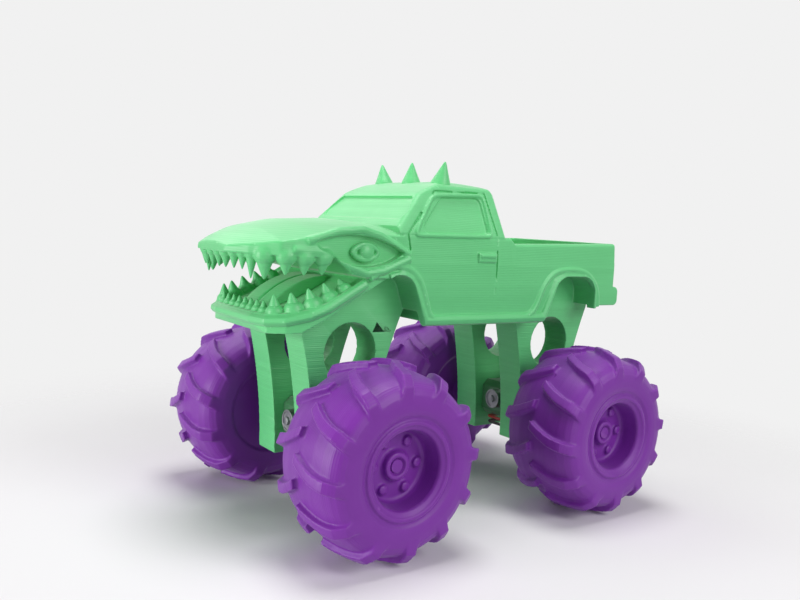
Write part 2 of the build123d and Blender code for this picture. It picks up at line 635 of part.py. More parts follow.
# Teeth: spikes that stand square on the gums, as shares of the reach and half width
UpperTooth = namedtuple("UpperTooth", "along half base length")
UPPER = [
    UpperTooth(0.940, 0.080, 2.2, 6.4), UpperTooth(0.938, 0.235, 2.2, 6.4),
    UpperTooth(0.913, 0.365, 2.0, 6.4), UpperTooth(0.873, 0.450, 1.8, 6.6),
    UpperTooth(0.828, 0.535, 2.1, 10.0), UpperTooth(0.755, 0.645, 3.5, 10.0),
    UpperTooth(0.630, 0.790, 3.3, 7.8), UpperTooth(0.488, 0.845, 3.3, 7.6),
    UpperTooth(0.340, 0.875, 3.2, 7.4),
]
LowerTooth = namedtuple("LowerTooth", "gum place half base length")
LOWER = [
    LowerTooth(0, 0.76, 0.620, 2.8, 7.4), LowerTooth(1, 0.5, 0.725, 3.2, 7.4),
    LowerTooth(2, 0.5, 0.790, 3.2, 7.4), LowerTooth(3, 0.5, 0.815, 3.0, 7.0),
    LowerTooth(4, 0.5, 0.820, 2.7, 5.6), LowerTooth(0, 0.55, 0.070, 2.0, 4.6),
    LowerTooth(0, 0.55, 0.212, 2.0, 4.6), LowerTooth(0, 0.55, 0.354, 2.0, 4.6),
    LowerTooth(0, 0.57, 0.490, 1.9, 4.6),
]
UPPER_SPIKES = []
for row in UPPER:
    for sign in (1, -1):
        root = (FX + row.along * NOSE_REACH, sign * row.half * HALF, GUM_Z)
        UPPER_SPIKES.append(spike(Plane(root, z_dir=(0, 0, -1)), row.base, row.length))

LOWER_SPIKES = []
for row in LOWER:
    (x0, z0), (x1, z1) = gum_point(row.gum), gum_point(row.gum + 1)
    for sign in (1, -1):
        root = (x0 + row.place * (x1 - x0), sign * row.half * HALF, z0 + row.place * (z1 - z0))
        gum = Plane(root, x_dir=(0, 1, 0), z_dir=(z1 - z0, 0, x0 - x1))
        LOWER_SPIKES.append(spike(gum, row.base, row.length))

with BuildPart() as upper_teeth:
    add(UPPER_SPIKES)
save(upper_teeth, "upper_teeth")

with BuildPart() as lower_teeth:
    add(LOWER_SPIKES)
save(lower_teeth, "lower_teeth")

# Tongue: two lobes with a lower strip between them, lying on the stepped gums
TONGUE_HALF = 12.0
TONGUE_RISE = 5.0
with BuildPart() as tongue:
    bed = [gum_point(number) for number in range(1, 6)]
    strips = ((-TONGUE_HALF, -GROOVE, 1.0), (-GROOVE, GROOVE, 0.7), (GROOVE, TONGUE_HALF, 1.0))
    for inner, outer, rise in strips:
        with BuildSketch(Plane.XZ.offset(-inner)):
            with BuildLine():
                heel = (bed[-1][0], bed[-1][1] + rise * TONGUE_RISE / 2)
                hump = (bed[1][0], bed[1][1] + rise * TONGUE_RISE)
                Polyline(*bed)
                Line(bed[-1], heel)
                ThreePointArc(heel, hump, bed[0])
            make_face()
        extrude(amount=inner - outer)
save(tongue, "tongue")

# Eyes: an almond plate on each socket's floor, with a raised disc
EYE_BACK = 1.4               # eye's middle behind the front axle
EYE_LONG = 7.4
EYE_TALL = 4.5
EYE_THICK = 1.6
IRIS_RADIUS = 3.4
EYE_X = FX - EYE_BACK
for side in SIDES:
    with BuildPart() as eye:
        seat = HALF - SOCKET_DEPTH
        with BuildSketch(Plane.XZ.offset(-side.sign * seat)):
            with BuildLine():
                eye_front = (EYE_X + EYE_LONG, EYE_Z)
                eye_rear = (EYE_X - EYE_LONG, EYE_Z)
                ThreePointArc(eye_front, (EYE_X, EYE_Z + EYE_TALL), eye_rear)
                ThreePointArc(eye_rear, (EYE_X, EYE_Z - EYE_TALL), eye_front)
            make_face()
        extrude(amount=-side.sign * EYE_THICK)
        with BuildSketch(Plane.XZ.offset(-side.sign * (seat + EYE_THICK))):
            with Locations((EYE_X, EYE_Z)):
                RegularPolygon(IRIS_RADIUS, 2 * BEAD_SIDES)
        extrude(amount=-side.sign * 0.4 * EYE_THICK)
    save(eye, f"eye_{side.name}")

# Roof spikes: three in a row, the outer two leaning out
SpikeRow = namedtuple("SpikeRow", "share lean")
SPIKES = [SpikeRow(0.76, 14.0), SpikeRow(0.0, 0.0), SpikeRow(-0.76, -14.0)]
SPIKE_RADIUS = 4.2
SPIKE_SUNK = 3.0
ROOF_SPIKES = []
for row in SPIKES:
    foot = (MID_X + 0.37 * SCREEN_FRONT, row.share * ROOF_HALF, ROOF_Z - SPIKE_SUNK)
    upright = Plane(Location(foot, (-row.lean, 0, 0)))
    ROOF_SPIKES.append(spike(upright, SPIKE_RADIUS, SPIKE_HEIGHT + SPIKE_SUNK))

with BuildPart() as roof_spikes:
    add(ROOF_SPIKES)
    add(cab.part, mode=Mode.SUBTRACT)
save(roof_spikes, "roof_spikes")
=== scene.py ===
"""Looks for the printed toy monster pickup: finishes, rounded print forms, studio and camera.

The frame is in metres: +X points forward, +Y to the truck's left and +Z up, with the ground at z = 0.
"""
import json
import logging
import math
from contextlib import contextmanager
from dataclasses import dataclass, field
from enum import Enum
from typing import Any, Callable, Iterator, Sequence, TypeAlias

import bmesh
import bpy
import numpy as np
from mathutils import Matrix, Vector

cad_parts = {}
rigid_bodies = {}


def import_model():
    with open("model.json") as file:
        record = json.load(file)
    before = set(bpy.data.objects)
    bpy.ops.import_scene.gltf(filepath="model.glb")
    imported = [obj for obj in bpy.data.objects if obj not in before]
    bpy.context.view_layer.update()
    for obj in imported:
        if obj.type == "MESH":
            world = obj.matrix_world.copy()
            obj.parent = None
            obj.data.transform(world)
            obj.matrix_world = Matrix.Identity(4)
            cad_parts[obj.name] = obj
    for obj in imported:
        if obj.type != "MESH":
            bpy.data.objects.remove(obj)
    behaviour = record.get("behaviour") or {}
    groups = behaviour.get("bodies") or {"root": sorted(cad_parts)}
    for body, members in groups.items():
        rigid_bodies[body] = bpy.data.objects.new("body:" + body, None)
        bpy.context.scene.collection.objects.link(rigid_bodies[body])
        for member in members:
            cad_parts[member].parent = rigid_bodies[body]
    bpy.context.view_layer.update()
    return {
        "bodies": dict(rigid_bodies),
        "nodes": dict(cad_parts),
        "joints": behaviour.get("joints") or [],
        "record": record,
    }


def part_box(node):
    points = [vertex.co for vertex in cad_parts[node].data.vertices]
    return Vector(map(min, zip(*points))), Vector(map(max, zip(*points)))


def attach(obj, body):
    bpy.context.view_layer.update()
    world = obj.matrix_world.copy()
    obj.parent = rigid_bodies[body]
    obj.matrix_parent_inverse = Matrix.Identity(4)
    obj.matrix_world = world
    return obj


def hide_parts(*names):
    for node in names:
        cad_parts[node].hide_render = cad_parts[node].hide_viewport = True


LOG = logging.getLogger("monster_pickup")
MM = 0.001
IMAGE_WIDTH = 800
TIP_SHARE = 0.26
DOUBLES = 0.002 * MM
SLIVER_EDGE = 0.05 * MM
SLIVER_FACE = 0.02 * MM
EDGE_ANGLE = 40
FACING = 0.9
SPIKE_SIDES = 6
Colour: TypeAlias = tuple[float, float, float]
Place: TypeAlias = tuple[float, float, float]
Number: TypeAlias = "float | Value"


class Body(str, Enum):
    """The bodies of the frame that pieces ride on."""

    TRUCK = "truck"
    FRONT = "front_axle_set"
    REAR = "rear_axle_set"


class Slot(str, Enum):
    """The record's material slots."""

    GREEN = "green_print"
    PURPLE = "purple_print"
    GEARBOX = "gearbox_print"
    MOTOR = "motor_can"
    RED_LEAD = "red_lead"
    BLACK_LEAD = "black_lead"


class Grain(Enum):
    """The way a print's layers are stacked."""

    UPRIGHT = 2
    SIDEWAYS = 1


def srgb(code: str) -> Colour:
    """Turn a hexadecimal screen colour into a linear one.

    Args:
        code: Six hexadecimal digits.

    Returns:
        Linear red, green and blue.
    """
    channels = [int(code[place:place + 2], 16) / 255 for place in (0, 2, 4)]
    linear = [c / 12.92 if c <= 0.04045 else ((c + 0.055) / 1.055) ** 2.4 for c in channels]
    return (linear[0], linear[1], linear[2])


class Value:
    """A node's output that can stand in a Python expression."""

    def __init__(self, graph: "Graph", socket: bpy.types.NodeSocket) -> None:
        """Keep the socket and the graph that it belongs to."""
        self.graph = graph
        self.socket = socket

    def __add__(self, other: Number) -> "Value":
        """Add a value or a number."""
        return self.graph.math("ADD", self, other)

    def __radd__(self, other: Number) -> "Value":
        """Add to a number."""
        return self.graph.math("ADD", other, self)

    def __sub__(self, other: Number) -> "Value":
        """Take a value or a number away."""
        return self.graph.math("SUBTRACT", self, other)

    def __rsub__(self, other: Number) -> "Value":
        """Take this from a number."""
        return self.graph.math("SUBTRACT", other, self)

    def __mul__(self, other: Number) -> "Value":
        """Multiply by a value or a number."""
        return self.graph.math("MULTIPLY", self, other)

    def __rmul__(self, other: Number) -> "Value":
        """Multiply a number."""
        return self.graph.math("MULTIPLY", other, self)

    def sine(self) -> "Value":
        """Take the sine of the value."""
        return self.graph.math("SINE", self, 0.0)

    def smooth_step(self, low: float, high: float) -> "Value":
        """Rise smoothly from nought at low to one at high."""
        limits = {"Value": self, "From Min": low, "From Max": high}
        return self.graph.node("ShaderNodeMapRange", {"interpolation_type": "SMOOTHSTEP"}, limits)


class Graph:
    """The nodes of a material or a world, added by type and linked by value."""

    def __init__(self, owner: bpy.types.Material | bpy.types.World) -> None:
        """Clear the owner's nodes and keep their tree.

        Args:
            owner: The material or the world.
        """
        owner.use_nodes = True
        self.tree = owner.node_tree
        self.tree.nodes.clear()

    def add(
        self,
        kind: str,
        settings: dict[str, Any] | None = None,
        sockets: dict[str | int, Any] | None = None,
    ) -> bpy.types.Node:
        """Add a node.

        Args:
            kind: The node's type.
            settings: Properties that are set first.
            sockets: Values or links of its inputs, by name or number.

        Returns:
            The new node.
        """
        added = self.tree.nodes.new(kind)
        for key, setting in (settings or {}).items():
            setattr(added, key, setting)
        for key, given in (sockets or {}).items():
            if isinstance(given, Value):
                self.tree.links.new(given.socket, added.inputs[key])
            elif added.inputs[key].type == "RGBA":
                added.inputs[key].default_value = (*given, 1.0)
            else:
                added.inputs[key].default_value = given
        return added

    def node(
        self,
        kind: str,
        settings: dict[str, Any] | None = None,
        sockets: dict[str | int, Any] | None = None,
        output: str | int = 0,
    ) -> Value:
        """Add a node and give one of its outputs, by name or number."""
        return Value(self, self.add(kind, settings, sockets).outputs[output])

    def math(self, operation: str, first: Number, second: Number) -> Value:
        """Add a Math node for two values or numbers."""
        return self.node("ShaderNodeMath", {"operation": operation}, {0: first, 1: second})

    def mix(self, share: Number, first: Colour | Value, second: Colour | Value) -> Value:
        """Mix two colours: nought gives the first and one the second."""
        settings = {"data_type": "RGBA", "clamp_factor": True}
        return self.node("ShaderNodeMix", settings, {0: share, 6: first, 7: second}, 2)

    def place(self) -> Value:
        """Give the place on the piece, in metres."""
        return self.node("ShaderNodeTexCoord", output="Object")

    def axis(self, place: Value, number: int) -> Value:
        """Give one coordinate of a place."""
        return self.node("ShaderNodeSeparateXYZ", sockets={0: place}, output=number)

    def noise(
        self, place: Value, scale: float, detail: float = 3.0, roughness: float = 0.5
    ) -> Value:
        """Give a noise between nought and one, by its waves in a metre and its finer waves."""
        sockets = {"Vector": place, "Scale": scale, "Detail": detail, "Roughness": roughness}
        return self.node("ShaderNodeTexNoise", sockets=sockets)

    def stretched(self, place: Value, scale: Sequence[float]) -> Value:
        """Stretch a place along the axes."""
        return self.node("ShaderNodeMapping", sockets={"Vector": place, "Scale": tuple(scale)})

    def bump(
        self, height: Value, depth: float, strength: float = 1.0, before: Value | None = None
    ) -> Value:
        """Turn a height between nought and one into a normal.

        Args:
            height: The height.
            depth: The height of one, in metres.
            strength: The share of the effect.
            before: A normal that this one is added to.

        Returns:
            The bumped normal.
        """
        sockets: dict[str | int, Any] = {"Height": height, "Distance": depth, "Strength": strength}
        if before is not None:
            sockets["Normal"] = before
        return self.node("ShaderNodeBump", sockets=sockets)


@dataclass(frozen=True)
class Finish:
    """The look of a surface, built as one material."""

    name: str

    def shader(self, graph: Graph) -> Value:
        """Build the shader; each kind of finish has its own."""
        raise NotImplementedError

    def material(self) -> bpy.types.Material:
        """Build the material.

        Returns:
            The finished material.
        """
        material = bpy.data.materials.new(self.name)
        graph = Graph(material)
        graph.add("ShaderNodeOutputMaterial", sockets={"Surface": self.shader(graph)})
        return material


@dataclass(frozen=True)
class PrintFinish(Finish):
    """Matte printed plastic with fine layers, faint bands, pale worn edges and painted shade in its
    hollows.
    """

    base: Colour
    # deep is the darker random tone, and also the colour of the painted shade in hollows.
    deep: Colour
    pale: Colour
    grain: Grain
    bands: float = 0.0
    gloss: float = 0.7
    sheen: float = 0.30
    sheen_roughness: float = 0.45
    roughness: float = 0.45
    layer: float = 0.8 * MM
    layer_depth: float = 0.06 * MM
    speck_depth: float = 0.03 * MM
    along_scale: float = 9.0
    band_scale: float = 420.0
    cloud_scale: float = 46.0
    speck_scale: float = 2600.0
    wander_scale: float = 160.0

    def shader(self, graph: Graph) -> Value:
        """Build the shader.

        Args:
            graph: The material's nodes.

        Returns:
            The shader.
        """
        place = graph.place()
        up = graph.axis(place, self.grain.value)
        stretch = [self.along_scale] * 3
        stretch[self.grain.value] = self.band_scale
        drift = graph.noise(graph.stretched(place, stretch), 1.0, 4.0, 0.6)
        cloud = graph.noise(place, self.cloud_scale, 3.0, 0.55)
        speck = graph.noise(place, self.speck_scale, 2.0, 0.6)
        wander = graph.noise(place, self.wander_scale, 2.0)
        layers = 0.5 + 0.5 * (up * (2 * math.pi / self.layer) + wander * 1.6).sine()
        edge = graph.node("ShaderNodeNewGeometry", output="Pointiness")
        worn = edge.smooth_step(0.515, 0.60)
        # Painted shade: where pointiness is low, in hollows and creases, the colour is darkened
        # towards deep.
        painted_hollow_shade = 1.0 - edge.smooth_step(0.40, 0.495)
        tone = (cloud - 0.5) * 0.55 + (drift - 0.5) * 0.75 + 0.5
        colour = graph.mix(tone.smooth_step(0.15, 0.85) * 0.34, self.base, self.deep)
        # Painted shade in hollows, mixed towards deep.
        colour = graph.mix(painted_hollow_shade * 0.35, colour, self.deep)
        colour = graph.mix(worn * 0.30 + speck.smooth_step(0.62, 0.8) * 0.05, colour, self.pale)
        rough = self.roughness + (drift - 0.5) * 0.16 + (cloud - 0.5) * 0.10 - worn * 0.06
        band_depth, band_share = (0.16 + 0.5 * self.bands) * MM, 0.35 + self.bands * 0.6
        normal = graph.bump(layers, self.layer_depth, 0.55)
        normal = graph.bump(drift, band_depth, band_share, normal)
        normal = graph.bump(speck, self.speck_depth, 0.25, normal)
        return graph.node(
            "ShaderNodeBsdfPrincipled",
            sockets={
                "Base Color": colour,
                "Roughness": rough,
                "Normal": normal,
                "Specular IOR Level": self.gloss,
                "Sheen Weight": self.sheen,
                "Sheen Roughness": self.sheen_roughness,
            },
        )


@dataclass(frozen=True)
class CanFinish(Finish):
    """Drawn steel of a small motor's can, brushed round its axis."""

    name: str = "motor_can_steel"
    base: Colour = field(default_factory=lambda: srgb("9A9D9F"))
    dark: Colour = field(default_factory=lambda: srgb("4E5053"))
    brush_scale: Place = (5200.0, 300.0, 300.0)
    stain_scale: float = 320.0

    def shader(self, graph: Graph) -> Value:
        """Build the shader.

        Args:
            graph: The material's nodes.

        Returns:
            The shader.
        """
        place = graph.place()
        brush = graph.noise(graph.stretched(place, self.brush_scale), 1.0)
        stain = graph.noise(place, self.stain_scale).smooth_step(0.5, 0.75)
        return graph.node(
            "ShaderNodeBsdfPrincipled",
            sockets={
                "Base Color": graph.mix(brush * 0.35 + stain * 0.35, self.base, self.dark),
                "Metallic": 1.0,
                "Roughness": 0.26 + brush * 0.22,
                "Normal": graph.bump(brush, 0.02 * MM, 0.4),
            },
        )


@dataclass(frozen=True)
class LeadFinish(Finish):
    """Soft insulation of a thin lead, with dust and faint rubbing."""

    base: Colour
    dust: Colour
    rub_scale: float = 900.0
    dust_scale: float = 210.0

    def shader(self, graph: Graph) -> Value:
        """Build the shader.

        Args:
            graph: The material's nodes.

        Returns:
            The shader.
        """
        place = graph.place()
        rub = graph.noise(place, self.rub_scale)
        dusty = graph.noise(place, self.dust_scale, 2.0).smooth_step(0.45, 0.8)
        return graph.node(
            "ShaderNodeBsdfPrincipled",
            sockets={
                "Base Color": graph.mix(dusty * 0.25 + rub * 0.08, self.base, self.dust),
                "Roughness": 0.38 + rub * 0.2,
                "Normal": graph.bump(rub, 0.03 * MM, 0.3),
            },
        )


@dataclass(frozen=True)
class FloorFinish(Finish):
    """Pale studio floor that fades into the background away from the object."""

    name: str = "studio_floor"
    paper: Colour = field(default_factory=lambda: srgb("EEECEE"))
    near: float = 0.13
    far: float = 0.38
    tooth_scale: float = 900.0

    def shader(self, graph: Graph) -> Value:
        """Build the shader.

        Args:
            graph: The material's nodes.

        Returns:
            The shader.
        """
        place = graph.place()
        flat = graph.stretched(place, (1.0, 1.0, 0.0))
        reach = graph.node("ShaderNodeVectorMath", {"operation": "LENGTH"}, {0: flat}, "Value")
        tooth = graph.bump(graph.noise(place, self.tooth_scale, 2.0), 0.02 * MM, 0.2)
        sheet = graph.node("ShaderNodeBsdfDiffuse", sockets={"Color": self.paper, "Normal": tooth})
        clear = graph.node("ShaderNodeBsdfTransparent")
        faded = reach.smooth_step(self.near, self.far)
        return graph.node("ShaderNodeMixShader", sockets={0: faded, 1: sheet, 2: clear})


GREEN = PrintFinish(
    "green_print_layers", srgb("5ECB7E"), srgb("3FAC60"), srgb("9CEBAE"), Grain.UPRIGHT
)
LEG_GREEN = PrintFinish(
    "green_print_bands", srgb("5ECB7E"), srgb("3A9E58"), srgb("92E2A6"), Grain.UPRIGHT, bands=0.7
)
PURPLE = PrintFinish(
    "purple_print_layers", srgb("78269D"), srgb("5B197C"), srgb("9E5ABA"), Grain.SIDEWAYS,
    gloss=0.4, sheen=0.1,
)
# Painted shade: the gearbox is printed in the body's green, and this darker copy of it stands in for
# the shadow it sits in between the legs.
SHADED_GREEN = PrintFinish(
    "gearbox_print_shaded_layers", srgb("2C6B40"), srgb("1E4F2E"), srgb("4E9464"), Grain.UPRIGHT
)
RED_SKIN = LeadFinish("red_lead_skin", srgb("A8281E"), srgb("C98C80"))
BLACK_SKIN = LeadFinish("black_lead_skin", srgb("1B1B1D"), srgb("5A5A5C"))


def activate(piece: bpy.types.Object) -> None:
    """Make a piece the only selected and active object.

    Args:
        piece: The object.
    """
    bpy.ops.object.select_all(action="DESELECT")
    piece.select_set(True)
    bpy.context.view_layer.objects.active = piece


@contextmanager
def editing(piece: bpy.types.Object) -> Iterator[None]:
    """Edit a piece's mesh with all of it selected.

    Args:
        piece: The object.
    """
    activate(piece)
    bpy.ops.object.mode_set(mode="EDIT")
    bpy.ops.mesh.select_all(action="SELECT")
    yield
    bpy.ops.object.mode_set(mode="OBJECT")


def choose_faces(piece: bpy.types.Object, test: Callable[[bmesh.types.BMFace], bool]) -> None:
    """Select, in edit mode, the faces that pass a test and no others.

    Args:
        piece: The object that is edited.
        test: Tells whether a face is selected.
    """
    bpy.ops.mesh.select_mode(type="FACE")
    bpy.ops.mesh.select_all(action="DESELECT")
    net = bmesh.from_edit_mesh(piece.data)
    net.faces.index_update()
    for face in net.faces:
        if test(face):
            face.select_set(True)
    bmesh.update_edit_mesh(piece.data)


def draw_out(move: Place, share: Place, centre: Place) -> None:
    """Extrude the selected faces, in edit mode, and resize the new ones about a centre."""
    bpy.ops.mesh.extrude_region_move(TRANSFORM_OT_translate={"value": move})
    bpy.ops.transform.resize(value=share, center_override=centre)


def modify(piece: bpy.types.Object, kind: str, **settings: Any) -> None:
    """Add a modifier to a piece and apply it.

    Args:
        piece: The object that changes.
        kind: The modifier's type.
        settings: The modifier's properties.
    """
    activate(piece)
    modifier = piece.modifiers.new(kind.lower(), kind)
    for key, setting in settings.items():
        setattr(modifier, key, setting)
    bpy.ops.object.modifier_apply(modifier=modifier.name)


def merge(piece: bpy.types.Object, distance: float = DOUBLES) -> None:
    """Merge the doubles of a piece and turn its faces outwards.

    Args:
        piece: The object.
        distance: How far doubles lie apart, in metres.
    """
    with editing(piece):
        bpy.ops.mesh.remove_doubles(threshold=distance)
        bpy.ops.mesh.normals_make_consistent(inside=False)


def smooth_shade(piece: bpy.types.Object) -> None:
    """Shade a piece smooth all over."""
    activate(piece)
    bpy.ops.object.shade_smooth()


def crease_shade(piece: bpy.types.Object, angle: float) -> None:
    """Shade a piece smooth, apart from edges sharper than an angle in degrees."""
    activate(piece)
    bpy.ops.object.shade_smooth_by_angle(angle=math.radians(angle))


def triangles(piece: bpy.types.Object) -> int:
    """Count a piece's triangles."""
    return sum(len(polygon.vertices) - 2 for polygon in piece.data.polygons)


def thin(piece: bpy.types.Object, most: int) -> None:
    """Thin a piece to a number of triangles, where it has more.

    Args:
        piece: The object.
        most: The number of triangles.
    """
    count = triangles(piece)
    if count > most:
        modify(piece, "DECIMATE", ratio=most / count)


def add_object(name: str, data: bpy.types.ID) -> bpy.types.Object:
    """Put a mesh, a curve, a lamp or a camera into the scene.

    Args:
        name: The object's name.
        data: What it shows.

    Returns:
        The object, at the origin.
    """
    piece = bpy.data.objects.new(name, data)
    bpy.context.scene.collection.objects.link(piece)
    return piece


def node_copy(frame: dict[str, Any], node: str, name: str) -> bpy.types.Object:
    """Copy a node's mesh into a new object and merge its doubles.

    Args:
        frame: The loaded frame.
        node: The node.
        name: The new object's name.

    Returns:
        The copy.
    """
    piece = add_object(name, frame["nodes"][node].data.copy())
    merge(piece)
    return piece


def primitive(operator: Callable[..., set[str]], **settings: Any) -> bpy.types.Object:
    """Add a primitive to start a piece from, with its place in its mesh.

    Args:
        operator: The operator that adds it.
        settings: The operator's settings.

    Returns:
        The new object.
    """
    bpy.ops.object.select_all(action="DESELECT")
    operator(**settings)
    bpy.ops.object.transform_apply(location=True, rotation=True, scale=True)
    return bpy.context.view_layer.objects.active


def reshape(
    piece: bpy.types.Object, rule: Callable[[Vector], Sequence[float]]
) -> bpy.types.Object:
    """Move every vertex of a piece by a rule.

    Args:
        piece: The object.
        rule: Gives the new place of a vertex.

    Returns:
        The object.
    """
    for vertex in piece.data.vertices:
        vertex.co = rule(vertex.co)
    return piece


def joined(name: str, pieces: Sequence[bpy.types.Object]) -> bpy.types.Object:
    """Join objects into one and name it.

    Args:
        name: The new name.
        pieces: The objects, of which the first is kept.

    Returns:
        The joined object.
    """
    activate(pieces[0])
    for piece in pieces[1:]:
        piece.select_set(True)
    bpy.ops.object.join()
    pieces[0].name = name
    return pieces[0]


def dress(
    piece: bpy.types.Object, material: bpy.types.Material, body: Body, node: str
) -> bpy.types.Object:
    """Give a piece its finish and the body it rides on, and hide the node that it stands for.

    Args:
        piece: The object.
        material: The finish.
        body: The body.
        node: The node that the piece replaces.

    Returns:
        The object.
    """
    piece.data.materials.clear()
    piece.data.materials.append(material)
    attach(piece, body.value)
    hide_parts(node)
    return piece


def line_curve(
    name: str, points: Sequence[Vector], radius: float, closed: bool = False
) -> bpy.types.Object:
    """Draw a round line along control points.

    Args:
        name: The line's name.
        points: The control points, in metres.
        radius: The line's radius, in metres.
        closed: True where the line runs back to its start.

    Returns:
        The line as a curve.
    """
    curve = bpy.data.curves.new(name, "CURVE")
    curve.dimensions = "3D"
    curve.bevel_depth = radius
    curve.bevel_resolution = 4
    curve.use_fill_caps = True
    spline = curve.splines.new("NURBS")
    spline.points.add(len(points) - 1)
    for point, place in zip(spline.points, points):
        point.co = (*place, 1.0)
    spline.order_u = 3
    spline.use_endpoint_u = not closed
    spline.use_cyclic_u = closed
    return add_object(name, curve)


@dataclass
class Rounding:
    """How a print's sharp form is rounded: grid, smoothing passes and triangles kept."""

    grid: float
    passes: int
    most: int
    strength: float = 0.5

    def fuse(self, piece: bpy.types.Object) -> None:
        """Fuse a piece's solids and smooth it."""
        modify(piece, "REMESH", mode="VOXEL", voxel_size=self.grid, use_smooth_shade=True)
        modify(piece, "SMOOTH", factor=self.strength, iterations=self.passes)

    def apply(self, piece: bpy.types.Object) -> None:
        """Fuse, smooth and thin a piece.

        Args:
            piece: The object.
        """
        self.fuse(piece)
        thin(piece, self.most)
        smooth_shade(piece)


@dataclass(frozen=True)
class Root:
    """Where a spike stands: its foot, its axis, its radius and its length, in metres."""

    foot: Vector
    axis: Vector
    radius: float
    length: float

    @staticmethod
    def of(corners: Sequence[Vector], up: int) -> "Root":
        """Read a spike's place from its solid's corners.

        Args:
            corners: The corners of a six-sided spike.
            up: One where it points up and minus one where it hangs.

        Returns:
            The spike's place.
        """
        tip_corners = sorted(corners, key=lambda corner: -up * corner.z)[:SPIKE_SIDES]
        tip = sum(tip_corners, Vector()) / SPIKE_SIDES
        flat = np.array([corner - tip for corner in tip_corners])
        axis = Vector(np.linalg.svd(flat)[2][2]).normalized()
        axis = axis if axis.z * up > 0 else -axis
        length = max((tip - corner).dot(axis) for corner in corners)
        radius = max((corner - tip).length for corner in tip_corners) / TIP_SHARE
        return Root(tip - axis * length, axis, radius, length)

    @staticmethod
    def row(frame: dict[str, Any], node: str, up: int) -> "list[Root]":
        """Read the places of all the spikes of a node."""
        return [Root.of(corners, up) for corners in islands(frame["nodes"][node].data)]

    def matrix(self) -> Matrix:
        """Give the transform from a unit spike to this one.

        Returns:
            The transform.
        """
        size = Matrix.Diagonal((self.radius, self.radius, self.length, 1.0))
        turn = self.axis.to_track_quat("Z", "Y").to_matrix().to_4x4()
        return Matrix.Translation(self.foot) @ turn @ size


def islands(mesh: bpy.types.Mesh) -> list[list[Vector]]:
    """Gather the corners of each separate solid of a mesh.

    Args:
        mesh: A node's mesh.

    Returns:
        One list of corners for each solid.
    """
    net = bmesh.new()
    net.from_mesh(mesh)
    bmesh.ops.remove_doubles(net, verts=net.verts, dist=DOUBLES)
    seen: set[bmesh.types.BMVert] = set()
    groups = []
    for start in net.verts:
        if start in seen:
            continue
        seen.add(start)
        stack, group = [start], []
        while stack:
            corner = stack.pop()
            group.append(corner.co.copy())
            around = [edge.other_vert(corner) for edge in corner.link_edges]
            fresh = [other for other in around if other not in seen]
            seen.update(fresh)
            stack.extend(fresh)
        groups.append(group)
    net.free()
    return groups


@dataclass
class SpikeRow:
    """A row of round spikes or teeth, each drawn up by rings from a disc on its solid's place."""

    node: str
    name: str
    up: int
    rings: tuple[tuple[float, float], ...]
    sides: int = 28
    sunk: float = 0.10
    doubles: float = 0.00001

    def build(self, frame: dict[str, Any], material: bpy.types.Material) -> bpy.types.Object:
        """Model one spike and copy it to the place of every solid of the node.

        Args:
            frame: The loaded frame.
            material: The finish.

        Returns:
            The row as one piece.
        """
        master = self.unit_spike()
        copies = []
        for root in Root.row(frame, self.node, self.up):
            copy = add_object(self.name, master.data.copy())
            copy.data.transform(root.matrix())
            copies.append(copy)
        bpy.data.objects.remove(master)
        row = joined(self.name, copies)
        merge(row)
        smooth_shade(row)
        return dress(row, material, Body.TRUCK, self.node)

    def unit_spike(self) -> bpy.types.Object:
        """Draw a disc up through the rings to a round tip.

        Returns:
            A spike one long, about one in radius, standing at the origin.
        """
        height, radius = -self.sunk, self.rings[0][1]
        spike = primitive(
            bpy.ops.mesh.primitive_circle_add,
            vertices=self.sides, radius=radius, fill_type="NGON", location=(0, 0, height),
        )
        with editing(spike):
            for up, wide in self.rings:
                share = wide / radius
                draw_out((0, 0, up - height), (share, share, 1), (0, 0, up))
                height, radius = up, wide
        merge(spike, self.doubles)
        modify(spike, "SUBSURF", levels=1, render_levels=1)
        return spike


UPPER_RINGS = (
    (-0.04, 1.06), (0.06, 1.12), (0.16, 1.08), (0.26, 0.98), (0.38, 0.86), (0.56, 0.65),
    (0.75, 0.43), (0.90, 0.25), (0.98, 0.12), (1.0, 0.04),
)
LOWER_RINGS = (
    (-0.04, 1.08), (0.06, 1.10), (0.14, 1.05), (0.24, 0.95), (0.37, 0.82), (0.56, 0.62),
    (0.75, 0.41), (0.90, 0.24), (0.98, 0.12), (1.0, 0.04),
)
ROOF_RINGS = (
    (0.0, 1.16), (0.12, 1.06), (0.26, 0.90), (0.45, 0.68), (0.66, 0.46), (0.84, 0.27),
    (0.95, 0.14), (1.0, 0.05),
)
SPIKE_ROWS = (
    SpikeRow("upper_teeth", "upper_tooth_row", -1, UPPER_RINGS),
    SpikeRow("lower_teeth", "lower_tooth_row", 1, LOWER_RINGS),
    SpikeRow("roof_spikes", "roof_spike_row", 1, ROOF_RINGS),
)


@dataclass(frozen=True)
class SideTrim:
    """A raised bead on both sides of the body, which is fused with the print.

    Its line is given by x and z in the side view, in millimetres.
    """

    name: str
    radius: float
    closed: bool
    line: tuple[tuple[float, float], ...]
    belt_half: float = 38.1
    belt_z: float = 130.0
    lean: float = 8.4 / 22.0

    def build(self) -> list[bpy.types.Object]:
        """Draw the bead on the left and on the right.

        Returns:
            The two beads as meshes.
        """
        beads = []
        for sign in (1, -1):
            line = line_curve(self.name, self.places(sign), self.radius, self.closed)
            activate(line)
            bpy.ops.object.convert(target="MESH")
            beads.append(bpy.context.view_layer.objects.active)
        return beads

    def places(self, sign: int) -> list[Vector]:
        """Set the line on the body's side, which leans in above the belt.

        Args:
            sign: One for the left side and minus one for the right.

        Returns:
            The line's points, in metres.
        """
        places = []
        for x, z in self.line:
            half = self.belt_half - max(z - self.belt_z, 0.0) * self.lean
            places.append(Vector((x, sign * half, z)) * MM)
        return places


